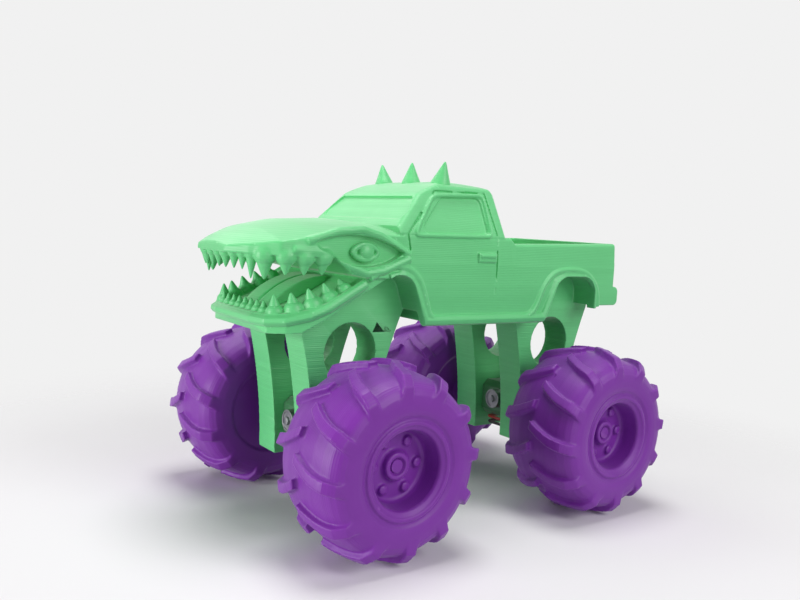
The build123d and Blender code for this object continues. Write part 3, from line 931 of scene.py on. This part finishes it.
WINDOW_RIM = SideTrim(
    "window_rim", 0.95 * MM, True,
    (
        (27.2, 129.2), (29.4, 129.4), (29.2, 131.6), (19.8, 143.4), (17.2, 146.6), (12.6, 147.4),
        (-8.0, 148.6), (-12.2, 148.6), (-13.4, 145.6), (-14.0, 134.6), (-14.0, 130.4),
        (-10.0, 130.0),
    ),
)
ARCH_BEAD = SideTrim(
    "arch_bead", 1.75 * MM, False,
    (
        (-90.6, 97.0), (-90.4, 104.0), (-86.4, 110.4), (-79.4, 115.0), (-68.2, 116.2),
        (-57.0, 114.8), (-50.0, 108.4), (-46.4, 99.0), (-42.6, 93.6), (-36.0, 92.6),
        (-10.0, 92.6), (14.0, 92.6), (20.0, 93.2), (22.4, 99.6), (26.0, 109.4), (31.6, 114.6),
        (39.4, 116.4), (47.0, 114.2), (52.6, 110.4),
    ),
)
HANDLE_BAR = SideTrim(
    "handle_bar", 1.25 * MM, False,
    ((-15.8, 121.2), (-14.0, 121.3), (-9.0, 121.3), (-6.8, 121.2)),
    belt_half=39.4,
)


def ramp(value: float, low: float, high: float) -> float:
    """Rise from nought at low to one at high."""
    return min(max((value - low) / (high - low), 0.0), 1.0)


def chin_weight(spot: Vector, _normal: Vector) -> float:
    """Weigh the lower jaw's skin below its lip, in millimetres."""
    return ramp(spot.x, 44.0, 50.0) * ramp(spot.z, 96.5, 98.0) * ramp(-spot.z, -106.0, -103.5)


def hood_weight(spot: Vector, normal: Vector) -> float:
    """Weigh the hood's top, in millimetres."""
    skin = max(ramp(normal.z, 0.45, 0.7), ramp(spot.x, 62.0, 70.0))
    return ramp(spot.x, 34.0, 40.0) * ramp(spot.z, 118.5, 120.5) * skin


@dataclass(frozen=True)
class Easing:
    """A region of the print whose faint facets are eased away: its passes and weights."""

    name: str
    passes: int
    weight: Callable[[Vector, Vector], float]

    def apply(self, print_form: bpy.types.Object) -> None:
        """Smooth the region by its weights.

        Args:
            print_form: The print.
        """
        group = print_form.vertex_groups.new(name=self.name)
        for vertex in print_form.data.vertices:
            share = self.weight(vertex.co / MM, vertex.normal)
            if share > 0.0:
                group.add((vertex.index,), share, "REPLACE")
        modify(print_form, "SMOOTH", factor=0.5, iterations=self.passes, vertex_group=self.name)
        print_form.vertex_groups.clear()


EASINGS = (Easing("chin", 45, chin_weight), Easing("hood", 40, hood_weight))


@dataclass(frozen=True)
class Parting:
    """Where one piece is parted from the print: a plane and a point that the piece grows from."""

    node: str
    place: Vector
    normal: Vector
    seed: Vector

    def cut(self, piece: bpy.types.Object) -> None:
        """Cut a piece's faces along the plane and keep both halves.

        Args:
            piece: The print.
        """
        with editing(piece):
            bpy.ops.mesh.bisect(plane_co=self.place, plane_no=self.normal)
            bpy.ops.mesh.select_all(action="SELECT")
            bpy.ops.mesh.remove_doubles(threshold=SLIVER_EDGE)
            bpy.ops.mesh.dissolve_degenerate(threshold=SLIVER_FACE)

    def ahead(self, spot: Vector) -> bool:
        """Tell whether a point is on the piece's side of the plane."""
        return (spot - self.place).dot(self.normal) > 0.0

    def faces(self, net: bmesh.types.BMesh, free: set[int]) -> set[int]:
        """Gather the faces that hang together with the seed on this side of the plane.

        Args:
            net: The print's mesh.
            free: The numbers of the faces that no piece has yet.

        Returns:
            The numbers of the piece's faces.
        """
        nearest = min(
            (net.faces[number] for number in free),
            key=lambda face: (face.calc_center_median() - self.seed).length_squared,
        )
        found, stack = {nearest.index}, [nearest]
        while stack:
            face = stack.pop()
            for edge in face.edges:
                for other in edge.link_faces:
                    new = other.index not in found and other.index in free
                    if new and self.ahead(other.calc_center_median()):
                        found.add(other.index)
                        stack.append(other)
        return found


def keep_faces(piece: bpy.types.Object, kept: Sequence[bool]) -> None:
    """Delete a piece's faces that aren't kept, and close the flat holes that are left.

    Args:
        piece: The object that is cut.
        kept: Tells for each face whether it stays.
    """
    with editing(piece):
        choose_faces(piece, lambda face: not kept[face.index])
        bpy.ops.mesh.delete(type="FACE")
        bpy.ops.mesh.select_mode(type="VERT")
        bpy.ops.mesh.select_all(action="SELECT")
        bpy.ops.mesh.fill_holes(sides=0)


@dataclass
class PrintedBody:
    """Shell, lower jaw and legs: rounded together as one print, then parted again."""

    nodes: tuple[str, ...] = (
        "body_shell", "lower_jaw", "leg_front_left", "leg_front_right", "leg_rear_left",
        "leg_rear_right",
    )
    rounding: Rounding = field(default_factory=lambda: Rounding(0.34 * MM, 3, 305000))
    crease: float = 55
    margin: float = 1.0 * MM
    hinge_back: float = 1.2 * MM
    chin_share: float = 0.8
    jaw_slope: Vector = field(default_factory=lambda: Vector((0.738, 0.0, -0.675)))
    rake: float = 2.4 * MM
    gum: float = 1.32
    gum_rise: float = 0.02
    wall_low: Place = (17.6, -36.0, 91.2)
    wall_high: Place = (21.0, 36.0, 98.0)
    wall_edge: float = 0.6 * MM
    bed_tail: float = -105.0
    bed_head: float = -33.0
    cab_back: float = -27.0
    cab_ease: float = 3.0
    rail_foot: float = 116.0
    rail_top: float = 124.0

    def build(
        self, frame: dict[str, Any], shell: bpy.types.Material, leg: bpy.types.Material
    ) -> list[bpy.types.Object]:
        """Build the pieces of the print.

        Args:
            frame: The loaded frame.
            shell: The finish of the shell and the jaw.
            leg: The finish of the legs.

        Returns:
            The finished pieces.
        """
        copies = [node_copy(frame, node, node) for node in self.nodes]
        trims = [*WINDOW_RIM.build(), *ARCH_BEAD.build(), *HANDLE_BAR.build(), self.well_wall()]
        print_form = joined("print_form", [*copies, *trims, *self.gum_beads(frame)])
        self.rounding.fuse(print_form)
        self.rake_rails(print_form)
        for easing in EASINGS:
            easing.apply(print_form)
        thin(print_form, self.rounding.most)
        owners = self.part(print_form)
        pieces = []
        for node in self.nodes:
            piece = add_object(f"printed_{node}", print_form.data.copy())
            keep_faces(piece, [owner == node for owner in owners])
            crease_shade(piece, self.crease)
            material = leg if node.startswith("leg") else shell
            pieces.append(dress(piece, material, Body.TRUCK, node))
        bpy.data.objects.remove(print_form)
        return pieces

    def well_wall(self) -> bpy.types.Object:
        """Model the low wall across the rear of the front wheel wells.

        Returns:
            The wall, to be fused with the print.
        """
        wall = primitive(bpy.ops.mesh.primitive_cube_add, size=1.0)
        low, high = Vector(self.wall_low) * MM, Vector(self.wall_high) * MM
        size = Matrix.Diagonal((*(high - low), 1.0))
        wall.data.transform(Matrix.Translation((low + high) / 2) @ size)
        modify(wall, "BEVEL", width=self.wall_edge, segments=2)
        return wall

    def gum_beads(self, frame: dict[str, Any]) -> list[bpy.types.Object]:
        """Swell the gums round the roots of the teeth.

        Args:
            frame: The loaded frame.

        Returns:
            A ball for each tooth, to be fused with the print.
        """
        beads = []
        for node, up in (("upper_teeth", -1), ("lower_teeth", 1)):
            for root in Root.row(frame, node, up):
                bead = primitive(
                    bpy.ops.mesh.primitive_uv_sphere_add,
                    segments=20, ring_count=10, radius=root.radius * self.gum,
                )
                rise = root.axis * self.gum_rise * root.length
                bead.data.transform(Matrix.Translation(root.foot + rise))
                beads.append(bead)
        return beads

    def rake_rails(self, print_form: bpy.types.Object) -> None:
        """Lower the bed's rails a little towards the cab, as they lie in the photograph.

        Args:
            print_form: The print.
        """
        for vertex in print_form.data.vertices:
            x, z = vertex.co.x / MM, vertex.co.z / MM
            if x < self.cab_back and z > self.rail_foot:
                run = ramp(x, self.bed_tail, self.bed_head)
                run *= ramp(-x, -self.cab_back, self.cab_ease - self.cab_back)
                vertex.co.z -= self.rake * run * ramp(z, self.rail_foot, self.rail_top)

    def part(self, print_form: bpy.types.Object) -> list[str]:
        """Share the print's faces out among its pieces, the legs first.

        Args:
            print_form: The print as one closed mesh, which is cut along the planes.

        Returns:
            The node of each face.
        """
        partings = self.partings()
        for parting in partings:
            parting.cut(print_form)
        net = bmesh.new()
        net.from_mesh(print_form.data)
        net.faces.ensure_lookup_table()
        free = set(range(len(net.faces)))
        owners = [self.nodes[0]] * len(net.faces)
        for parting in partings:
            found = parting.faces(net, free)
            free -= found
            for number in found:
                owners[number] = parting.node
        net.free()
        return owners

    def partings(self) -> list[Parting]:
        """List where the legs and the jaw are parted from the shell.

        Returns:
            The partings, the legs' first.
        """
        down = Vector((0, 0, -1))
        jaw_low, jaw_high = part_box("lower_jaw")
        partings = []
        for node in self.nodes[2:]:
            low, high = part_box(node)
            top = jaw_low.z if "front" in node else high.z
            seed = Vector(((low.x + high.x) / 2, (low.y + high.y) / 2, low.z))
            place = Vector((seed.x, seed.y, top - self.margin))
            partings.append(Parting(node, place, down, seed))
        hinge = Vector((jaw_low.x + self.hinge_back, 0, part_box(self.nodes[2])[1].z))
        chin_x = self.chin_share * jaw_high.x + (1 - self.chin_share) * jaw_low.x
        chin = Vector((chin_x, 0, jaw_low.z))
        return [*partings, Parting("lower_jaw", hinge, self.jaw_slope, chin)]


@dataclass
class Tongue:
    """The two-lobed tongue, rounded from its solid."""

    rounding: Rounding = field(default_factory=lambda: Rounding(0.4 * MM, 9, 14000))

    def build(self, frame: dict[str, Any], material: bpy.types.Material) -> bpy.types.Object:
        """Round the tongue in its place.

        Args:
            frame: The loaded frame.
            material: The finish.

        Returns:
            The finished piece.
        """
        tongue = node_copy(frame, "tongue", "lobed_tongue")
        self.rounding.apply(tongue)
        return dress(tongue, material, Body.TRUCK, "tongue")


@dataclass(frozen=True)
class EyeSeat:
    """Where an eye sits: its middle, half its sizes and the socket's floor along Y."""

    middle: Vector
    half: Vector
    floor: float


@dataclass
class Eye:
    """An almond eye: a flat lens, a lid round it and a domed ball, fused as one print."""

    side: str
    sign: int
    lens_height: float = 0.3 * MM
    lid: float = 1.3 * MM
    lid_rise: float = 0.9 * MM
    ball: float = 4.0 * MM
    ball_back: float = 0.6 * MM
    ball_height: float = 2.9 * MM
    pinch: float = 0.26
    ring: float = 0.2
    rounding: Rounding = field(default_factory=lambda: Rounding(0.2 * MM, 4, 16000))

    def build(self, material: bpy.types.Material) -> bpy.types.Object:
        """Model the eye in its node's place.

        Args:
            material: The finish.

        Returns:
            The finished piece.
        """
        node = f"eye_{self.side}"
        low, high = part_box(node)
        seat = EyeSeat((low + high) / 2, (high - low) / 2, low.y if self.sign > 0 else high.y)
        forms = [self.lens(seat), self.lid_ring(seat), self.ball_dome(seat)]
        eye = joined(f"almond_{node}", forms)
        self.rounding.apply(eye)
        return dress(eye, material, Body.TRUCK, node)

    def lens(self, seat: EyeSeat) -> bpy.types.Object:
        """Model the flat almond that fills the lid.

        Args:
            seat: The eye's place.

        Returns:
            The lens.
        """
        def almond(spot: Vector) -> Place:
            """Flatten a point of the ball and pinch it towards the corners."""
            x, y, z = spot
            tall = seat.half.z * z * (1 - self.pinch * x * x)
            deep = seat.floor + self.sign * y * self.lens_height
            return (seat.middle.x + seat.half.x * x, deep, seat.middle.z + tall)

        ball = primitive(
            bpy.ops.mesh.primitive_uv_sphere_add, segments=40, ring_count=20, radius=1.0
        )
        return reshape(ball, almond)

    def lid_ring(self, seat: EyeSeat) -> bpy.types.Object:
        """Model the lid that runs round the almond.

        Args:
            seat: The eye's place.

        Returns:
            The lid.
        """
        def lid(spot: Vector) -> Place:
            """Lead a point of the ring round the almond's edge."""
            x, y, z = spot
            reach = math.hypot(x, y)
            across, up = x / reach, y / reach
            swell = (reach - 1.0) / self.ring * self.lid
            tall = (seat.half.z - self.lid) * up * (1 - self.pinch * across * across)
            return (
                seat.middle.x + (seat.half.x - self.lid) * across + swell * across,
                seat.floor + self.sign * (self.lid_rise + z / self.ring * self.lid),
                seat.middle.z + tall + swell * up,
            )

        ring = primitive(
            bpy.ops.mesh.primitive_torus_add,
            major_radius=1.0, minor_radius=self.ring, major_segments=64, minor_segments=14,
        )
        return reshape(ring, lid)

    def ball_dome(self, seat: EyeSeat) -> bpy.types.Object:
        """Model the domed ball.

        Args:
            seat: The eye's place.

        Returns:
            The ball.
        """
        def dome(spot: Vector) -> Place:
            """Flatten a point of the ball."""
            x, y, z = spot
            deep = seat.floor + self.sign * self.ball_height * y
            middle = seat.middle
            return (middle.x - self.ball_back + self.ball * x, deep, middle.z + self.ball * z)

        ball = primitive(
            bpy.ops.mesh.primitive_uv_sphere_add, segments=36, ring_count=18, radius=1.0
        )
        return reshape(ball, dome)


@dataclass(frozen=True)
class Ring:
    """One ring of a turned profile: distance along the axle and radius, in millimetres."""

    along: float
    radius: float


SHOULDER = (
    Ring(8.0, 36.7), Ring(14.0, 35.5), Ring(17.4, 34.1), Ring(19.6, 32.2), Ring(20.9, 29.6),
    Ring(21.4, 26.6),
)


@dataclass
class Wheel:
    """A lugged wheel, turned from a disc and set with paddles, then fused as one print."""

    segments: int = 112
    crown: float = 37.2 * MM
    core: float = 1.5
    lugs: int = 12
    lug_width: float = 5.2 * MM
    lug_height: float = 3.0 * MM
    lug_root: float = 3.4 * MM
    lug_cuts: int = 11
    lug_reach: float = 21.3 * MM
    lug_flare: float = 0.16
    tip: float = 39.9 * MM
    sweep: float = 4.9 * MM
    sweep_end: float = 0.62
    trail: float = 3.4 * MM
    trail_start: float = 0.35
    fall: float = 4.0 * MM
    fall_power: float = 1.7
    edge_fall: float = 3.6 * MM
    edge_start: float = 0.82
    nuts: int = 6
    nut_circle: float = 10.6 * MM
    nut_radius: float = 2.0 * MM
    nut_height: float = 1.9 * MM
    nut_sunk: float = 1.0 * MM
    nut_edge: float = 0.5 * MM
    floor: float = 10.0 * MM
    rounding: Rounding = field(default_factory=lambda: Rounding(0.55 * MM, 3, 78000))
    outer: tuple[Ring, ...] = (
        *SHOULDER, Ring(21.3, 23.6), Ring(20.7, 21.6), Ring(19.9, 21.0), Ring(19.9, 20.2),
        Ring(20.9, 19.7), Ring(21.1, 18.9), Ring(20.9, 18.0), Ring(19.9, 17.5), Ring(19.8, 16.4),
        Ring(18.8, 15.7), Ring(12.2, 14.9), Ring(10.4, 14.2), Ring(10.0, 13.2), Ring(10.0, 6.9),
        Ring(10.5, 6.0), Ring(12.5, 5.7), Ring(13.1, 5.2), Ring(13.1, 3.6), Ring(11.6, 3.4),
        Ring(11.6, 2.6),
    )
    inner: tuple[Ring, ...] = (
        *SHOULDER, Ring(21.4, 21.5), Ring(20.4, 20.6), Ring(20.4, 6.0), Ring(21.4, 5.2),
        Ring(21.4, 3.4),
    )

    def build(self, material: bpy.types.Material) -> list[bpy.types.Object]:
        """Model one wheel and copy it to the four axle ends.

        Args:
            material: The finish.

        Returns:
            The four wheels.
        """
        master = self.turned()
        self.set_lugs(master)
        self.set_nuts(master)
        self.rounding.apply(master)
        wheels = []
        for axle, body in (("front", Body.FRONT), ("rear", Body.REAR)):
            for side in ("left", "right"):
                node = f"wheel_{axle}_{side}"
                wheel = self.placed(master, node, side == "right")
                wheels.append(dress(wheel, material, body, node))
        bpy.data.objects.remove(master)
        return wheels

    def placed(self, master: bpy.types.Object, node: str, mirrored: bool) -> bpy.types.Object:
        """Copy the modelled wheel to a node's place.

        Args:
            master: The wheel about the origin, outer face towards +Y.
            node: The node that it stands for.
            mirrored: True on the right-hand side.

        Returns:
            The placed wheel.
        """
        low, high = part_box(node)
        wheel = add_object(f"lugged_{node}", master.data.copy())
        flip = Matrix.Scale(-1.0, 4, Vector((0, 1, 0))) if mirrored else Matrix.Identity(4)
        wheel.data.transform(Matrix.Translation((low + high) / 2) @ flip)
        if mirrored:
            wheel.data.flip_normals()
        return wheel

    def turned(self) -> bpy.types.Object:
        """Turn the carcass and rim: a thin disc whose caps are drawn out ring by ring.

        Returns:
            The turned carcass.
        """
        disc = primitive(
            bpy.ops.mesh.primitive_cylinder_add,
            vertices=self.segments, radius=self.crown, depth=2 * self.core * MM,
            rotation=(math.radians(90), 0, 0),
        )
        for sign, rings in ((1, self.outer), (-1, self.inner)):
            self.draw_cap(disc, sign, rings)
        merge(disc)
        return disc

    def draw_cap(self, disc: bpy.types.Object, sign: int, rings: Sequence[Ring]) -> None:
        """Draw one cap of the disc out through its rings.

        Args:
            disc: The disc.
            sign: One for the outer cap and minus one for the inner.
            rings: The profile's rings, from the crown inwards.
        """
        along, radius = self.core, self.crown / MM
        with editing(disc):
            choose_faces(disc, lambda face: face.normal.y * sign > FACING)
            for ring in rings:
                share = ring.radius / radius
                move = (0, sign * (ring.along - along) * MM, 0)
                draw_out(move, (share, 1, share), (0, sign * ring.along * MM, 0))
                along, radius = ring.along, ring.radius

    def set_lugs(self, carcass: bpy.types.Object) -> None:
        """Model one paddle for each half of the tread and copy it round the carcass.

        Args:
            carcass: The turned wheel, which the paddles are joined to.
        """
        pitch = 2 * math.pi / self.lugs
        for sign in (1, -1):
            turns = [sign * pitch / 4 + step * pitch for step in range(self.lugs)]
            self.set_round(carcass, self.paddle(sign), [-turn for turn in turns])

    @staticmethod
    def set_round(
        carcass: bpy.types.Object, master: bpy.types.Object, turns: Sequence[float]
    ) -> None:
        """Copy a form round the axle and join it to the carcass.

        Args:
            carcass: The turned wheel.
            master: The form, which is used up.
            turns: The angles of the copies, in radians.
        """
        copies = []
        for turn in turns:
            copy = add_object("copy", master.data.copy())
            copy.data.transform(Matrix.Rotation(turn, 4, "Y"))
            copies.append(copy)
        bpy.data.objects.remove(master)
        joined(carcass.name, [carcass, *copies])

    def paddle(self, sign: int) -> bpy.types.Object:
        """Shape one paddle: a bar bent back along the tread and down over the shoulder.

        Args:
            sign: One for the outer half of the tread and minus one for the inner.

        Returns:
            The paddle, at the bottom of the wheel.
        """
        bar = primitive(bpy.ops.mesh.primitive_cube_add, size=1.0)
        with editing(bar):
            bpy.ops.mesh.subdivide(number_cuts=self.lug_cuts)
        reshape(bar, lambda spot: self.on_tread(spot, sign))
        merge(bar)
        return bar

    def on_tread(self, spot: Vector, sign: int) -> Vector:
        """Map a point of the unit bar onto the tread.

        Args:
            spot: A point of the unit cube, with X along the bar, Y across it and Z up.
            sign: The half of the tread.

        Returns:
            The point on the wheel, at its bottom.
        """
        run, rise = spot.x + 0.5, spot.z + 0.5
        back = self.sweep * math.sin(min(run / self.sweep_end, 1.0) * math.pi / 2)
        back += self.trail * max(run - self.trail_start, 0.0)
        edge = max(run - self.edge_start, 0.0) / (1 - self.edge_start)
        top = self.tip - self.fall * run ** self.fall_power - self.edge_fall * edge * run
        base = top - (self.lug_height + self.lug_root)
        flare = 1.0 + self.lug_flare * (0.5 - rise)
        narrow = 1.0 - self.lug_flare * (1.0 - run)
        width = spot.y * self.lug_width * flare * narrow
        radius = base + rise * (top - base)
        return Vector((-(back + width), sign * self.lug_reach * run, -radius))

    def set_nuts(self, carcass: bpy.types.Object) -> None:
        """Model one nut and copy it round the hub.

        Args:
            carcass: The turned wheel, which the nuts are joined to.
        """
        middle = self.floor + (self.nut_height - self.nut_sunk) / 2
        nut = primitive(
            bpy.ops.mesh.primitive_cylinder_add,
            vertices=24, radius=self.nut_radius, depth=self.nut_height + self.nut_sunk,
            location=(self.nut_circle, middle, 0), rotation=(math.radians(90), 0, 0),
        )
        modify(nut, "BEVEL", width=self.nut_edge, segments=3, limit_method="ANGLE")
        turns = [2 * math.pi * step / self.nuts for step in range(self.nuts)]
        self.set_round(carcass, nut, turns)


@dataclass
class DriveUnit:
    """The axle, gearbox and motor's end between a pair of legs."""

    end: str
    body: Body
    box_edge: float = 0.7 * MM
    shaft_edge: float = 0.25 * MM
    can_edge: float = 0.2 * MM
    motor_face: float = 0.9 * MM
    motor_sunk: float = 0.5 * MM
    boss: float = 1.3 * MM
    boss_inset: float = 2.2 * MM
    crease: float = 35

    def build(
        self,
        frame: dict[str, Any],
        axle: bpy.types.Material,
        gearbox: bpy.types.Material,
        motor: bpy.types.Material,
    ) -> list[bpy.types.Object]:
        """Build the unit's pieces.

        Args:
            frame: The loaded frame.
            axle: The axle's finish.
            gearbox: The gearbox's finish.
            motor: The motor's finish.

        Returns:
            The finished pieces.
        """
        shaft, box, can = (f"{kind}_{self.end}" for kind in ("axle", "gearbox", "motor"))
        return [
            dress(self.eased(frame, shaft, self.shaft_edge), axle, self.body, shaft),
            dress(self.eased(frame, box, self.box_edge), gearbox, Body.TRUCK, box),
            dress(self.motor_can(can), motor, Body.TRUCK, can),
        ]

    def ease(self, piece: bpy.types.Object, edge: float, segments: int) -> None:
        """Round a piece's edges and shade it.

        Args:
            piece: The object.
            edge: The rounding, in metres.
            segments: The rounding's steps.
        """
        modify(
            piece, "BEVEL", width=edge, segments=segments, limit_method="ANGLE",
            angle_limit=math.radians(EDGE_ANGLE),
        )
        crease_shade(piece, self.crease)

    def eased(self, frame: dict[str, Any], node: str, edge: float) -> bpy.types.Object:
        """Copy a node and round its edges.

        Args:
            frame: The loaded frame.
            node: The node.
            edge: The rounding, in metres.

        Returns:
            The rounded piece.
        """
        piece = node_copy(frame, node, f"eased_{node}")
        self.ease(piece, edge, 3)
        return piece

    def motor_can(self, node: str) -> bpy.types.Object:
        """Model the motor's round end with a sunk face and a shaft boss.

        Args:
            node: The motor's node.

        Returns:
            The can.
        """
        low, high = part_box(node)
        middle, half = (low + high) / 2, (high - low) / 2
        depth = 2 * half.x - self.boss + self.motor_sunk
        can = primitive(
            bpy.ops.mesh.primitive_cylinder_add,
            vertices=48, radius=half.z, depth=depth,
            location=(low.x + depth / 2, middle.y, middle.z), rotation=(0, math.radians(90), 0),
        )
        can.name = f"steel_can_{self.end}"
        steps = ((self.motor_face, -self.motor_sunk), (self.boss_inset, self.boss))
        with editing(can):
            choose_faces(can, lambda face: face.normal.x > FACING)
            for inset, step in steps:
                bpy.ops.mesh.inset(thickness=inset)
                bpy.ops.mesh.extrude_region_move(TRANSFORM_OT_translate={"value": (step, 0, 0)})
        self.ease(can, self.can_edge, 2)
        return can


@dataclass
class Lead:
    """A thin motor lead from the body's floor, behind a gearbox, under it and into a leg."""

    end: str
    colour: str
    length: float
    ahead: float
    aside: float
    below: float
    radius: float = 0.8 * MM
    tuck: float = 8.0 * MM
    steps: int = 10

    def build(self, material: bpy.types.Material) -> bpy.types.Object:
        """Args:
            material: The insulation's finish.

        Returns:
            The lead as a curve.
        """
        route = self.route()
        lead = line_curve(f"{self.colour}_lead_{self.end}", route, self.radius)
        lead.data.splines[0].resolution_u = self.steps
        slot, node = Slot(f"{self.colour}_lead"), f"lead_{self.colour}_{self.end}"
        dress(lead, material, Body.TRUCK, node)
        return lead

    def route(self) -> list[Vector]:
        """List the points that the lead follows.

        Returns:
            The points, in metres, from the body's floor to the leg.
        """
        low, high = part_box(f"gearbox_{self.end}")
        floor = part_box(f"leg_{self.end}_left")[1].z
        back, front = low.x - 2 * self.radius, high.x + self.ahead * self.radius
        aside, under = -self.aside * high.y, low.z - self.below * self.radius
        return [
            Vector((back + self.tuck, aside, floor)),
            Vector((back + self.tuck, aside, floor - 14.0 * MM)),
            Vector((back + 6.5 * MM, aside, high.z + 10.0 * MM)),
            Vector((back + 1.0 * MM, aside, high.z + 3.0 * MM)),
            Vector((back - 0.4 * MM, aside, high.z - 6.0 * MM)),
            Vector((back - 0.4 * MM, aside, low.z + 5.0 * MM)),
            Vector((back + 0.2 * MM, aside, under - 0.6 * MM)),
            Vector((back + 7.0 * MM, aside, under - 0.8 * MM)),
            Vector((front - 3.0 * MM, aside, under - 0.2 * MM)),
            Vector((front, aside + 2.0 * MM, under)),
            Vector((front, aside + 6.0 * MM, under)),
            Vector((front, high.y, under)),
        ]


LEADS = tuple(
    Lead(end, colour, 0.098, ahead, aside, below)
    for end in ("front", "rear")
    for colour, ahead, aside, below in (("red", -2.0, 0.70, 1.6), ("black", 1.0, 0.40, 4.2))
)


@dataclass(frozen=True)
class Lamp:
    """A soft round lamp: its place and width, in metres, and its power in watts."""

    name: str
    place: Place
    power: float
    size: float = 0.50
    aim: Place = (0.0, 0.0, 0.08)

    def build(self) -> None:
        """Hang the lamp and turn it towards the object."""
        data = bpy.data.lights.new(self.name, "AREA")
        data.shape = "DISK"
        data.size = self.size
        data.energy = self.power
        lamp = add_object(self.name, data)
        lamp.location = self.place
        line = Vector(self.aim) - Vector(self.place)
        lamp.rotation_euler = line.to_track_quat("-Z", "Y").to_euler()


LAMPS = (
    Lamp("overhead_lamp", (0.0, 0.0, 1.0), 4.8),
    Lamp("front_lamp", (0.95, -0.1, 0.16), 6.6),
    Lamp("left_lamp", (0.1, 0.95, 0.25), 1.4),
    Lamp("left_high_lamp", (-0.25, 0.8, 0.6), 3.9),
    Lamp("right_lamp", (0.15, -0.65, 0.75), 1.6),
)


@dataclass
class Studio:
    """Pale floor, soft lamps and the camera at the photograph's angle."""

    camera_place: Place = (238.66, 311.52, 132.05)
    yaw: float = -126.49
    down: float = 5.157
    roll: float = 3.283
    lens_pixels: float = 799.73
    sensor: float = 36.0
    nearest: float = 0.01
    floor_radius: float = 0.8
    backdrop: Colour = field(default_factory=lambda: srgb("F1F1F1"))
    white: Colour = (1.0, 1.0, 1.0)
    ambient: float = 0.17

    def build(self) -> None:
        """Set the scene round the object."""
        self.add_camera()
        self.add_floor()
        for lamp in LAMPS:
            lamp.build()
        self.add_world()
        bpy.context.scene.view_settings.view_transform = "Standard"

    def add_camera(self) -> None:
        """Place the camera where the photograph was taken from."""
        yaw, down, roll = (math.radians(angle) for angle in (self.yaw, self.down, self.roll))
        level = Vector((math.cos(yaw), math.sin(yaw), 0)) * math.cos(down)
        ahead = level - Vector((0, 0, math.sin(down)))
        right = ahead.cross(Vector((0, 0, 1))).normalized()
        up = right.cross(ahead)
        right, up = (
            math.cos(roll) * right + math.sin(roll) * up,
            math.cos(roll) * up - math.sin(roll) * right,
        )
        data = bpy.data.cameras.new("photo_camera")
        data.sensor_width = self.sensor
        data.lens = self.lens_pixels / IMAGE_WIDTH * self.sensor
        data.clip_start = self.nearest
        camera = add_object("photo_camera", data)
        turn = Matrix((right, up, -ahead)).transposed().to_4x4()
        camera.matrix_world = Matrix.Translation(Vector(self.camera_place) * MM) @ turn
        bpy.context.scene.camera = camera

    def add_floor(self) -> None:
        """Lay the floor, which is no part of the object."""
        floor = primitive(
            bpy.ops.mesh.primitive_circle_add,
            vertices=96, radius=self.floor_radius, fill_type="NGON",
        )
        floor.name = "studio_floor"
        floor.data.materials.append(FloorFinish().material())

    def add_world(self) -> None:
        """Surround the object with pale light and a pale background."""
        world = bpy.data.worlds.new("pale_studio")
        graph = Graph(world)
        seen = graph.node("ShaderNodeLightPath", output="Is Camera Ray")
        for kind in ("Is Glossy Ray", "Is Transmission Ray"):
            seen = graph.math("MAXIMUM", seen, graph.node("ShaderNodeLightPath", output=kind))
        dim = {"Color": self.white, "Strength": self.ambient}
        light = graph.node("ShaderNodeBackground", sockets=dim)
        shown = graph.node("ShaderNodeBackground", sockets={"Color": self.backdrop})
        surface = graph.node("ShaderNodeMixShader", sockets={0: seen, 1: light, 2: shown})
        graph.add("ShaderNodeOutputWorld", sockets={"Surface": surface})
        bpy.context.scene.world = world


def corners(box: Any) -> list[list[float]]:
    """Turn a box into plain lists of numbers."""
    return [[float(number) for number in corner] for corner in box]


def main() -> None:
    """Load the frame, build every piece, set the studio and note the sizes."""
    logging.basicConfig(level=logging.INFO, format="%(name)s: %(message)s")
    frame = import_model()
    Studio().build()
    skins = {"red": RED_SKIN.material(), "black": BLACK_SKIN.material()}
    for lead in LEADS:
        LOG.info("%s", lead.build(skins[lead.colour]).name)
    green, purple = GREEN.material(), PURPLE.material()
    # The gearbox gets the darker green, which is painted shade.
    gearbox, steel = SHADED_GREEN.material(), CanFinish().material()
    pieces = []
    for end, body in (("front", Body.FRONT), ("rear", Body.REAR)):
        pieces.extend(DriveUnit(end, body).build(frame, purple, gearbox, steel))
    pieces.extend(PrintedBody().build(frame, green, LEG_GREEN.material()))
    pieces.extend(row.build(frame, green) for row in SPIKE_ROWS)
    pieces.append(Tongue().build(frame, green))
    pieces.extend(Eye(side, sign).build(green) for side, sign in (("left", 1), ("right", -1)))
    pieces.extend(Wheel().build(purple))
    for piece in pieces:
        LOG.info("%s: %d triangles", piece.name, triangles(piece))


if __name__ == "__main__":
    main()
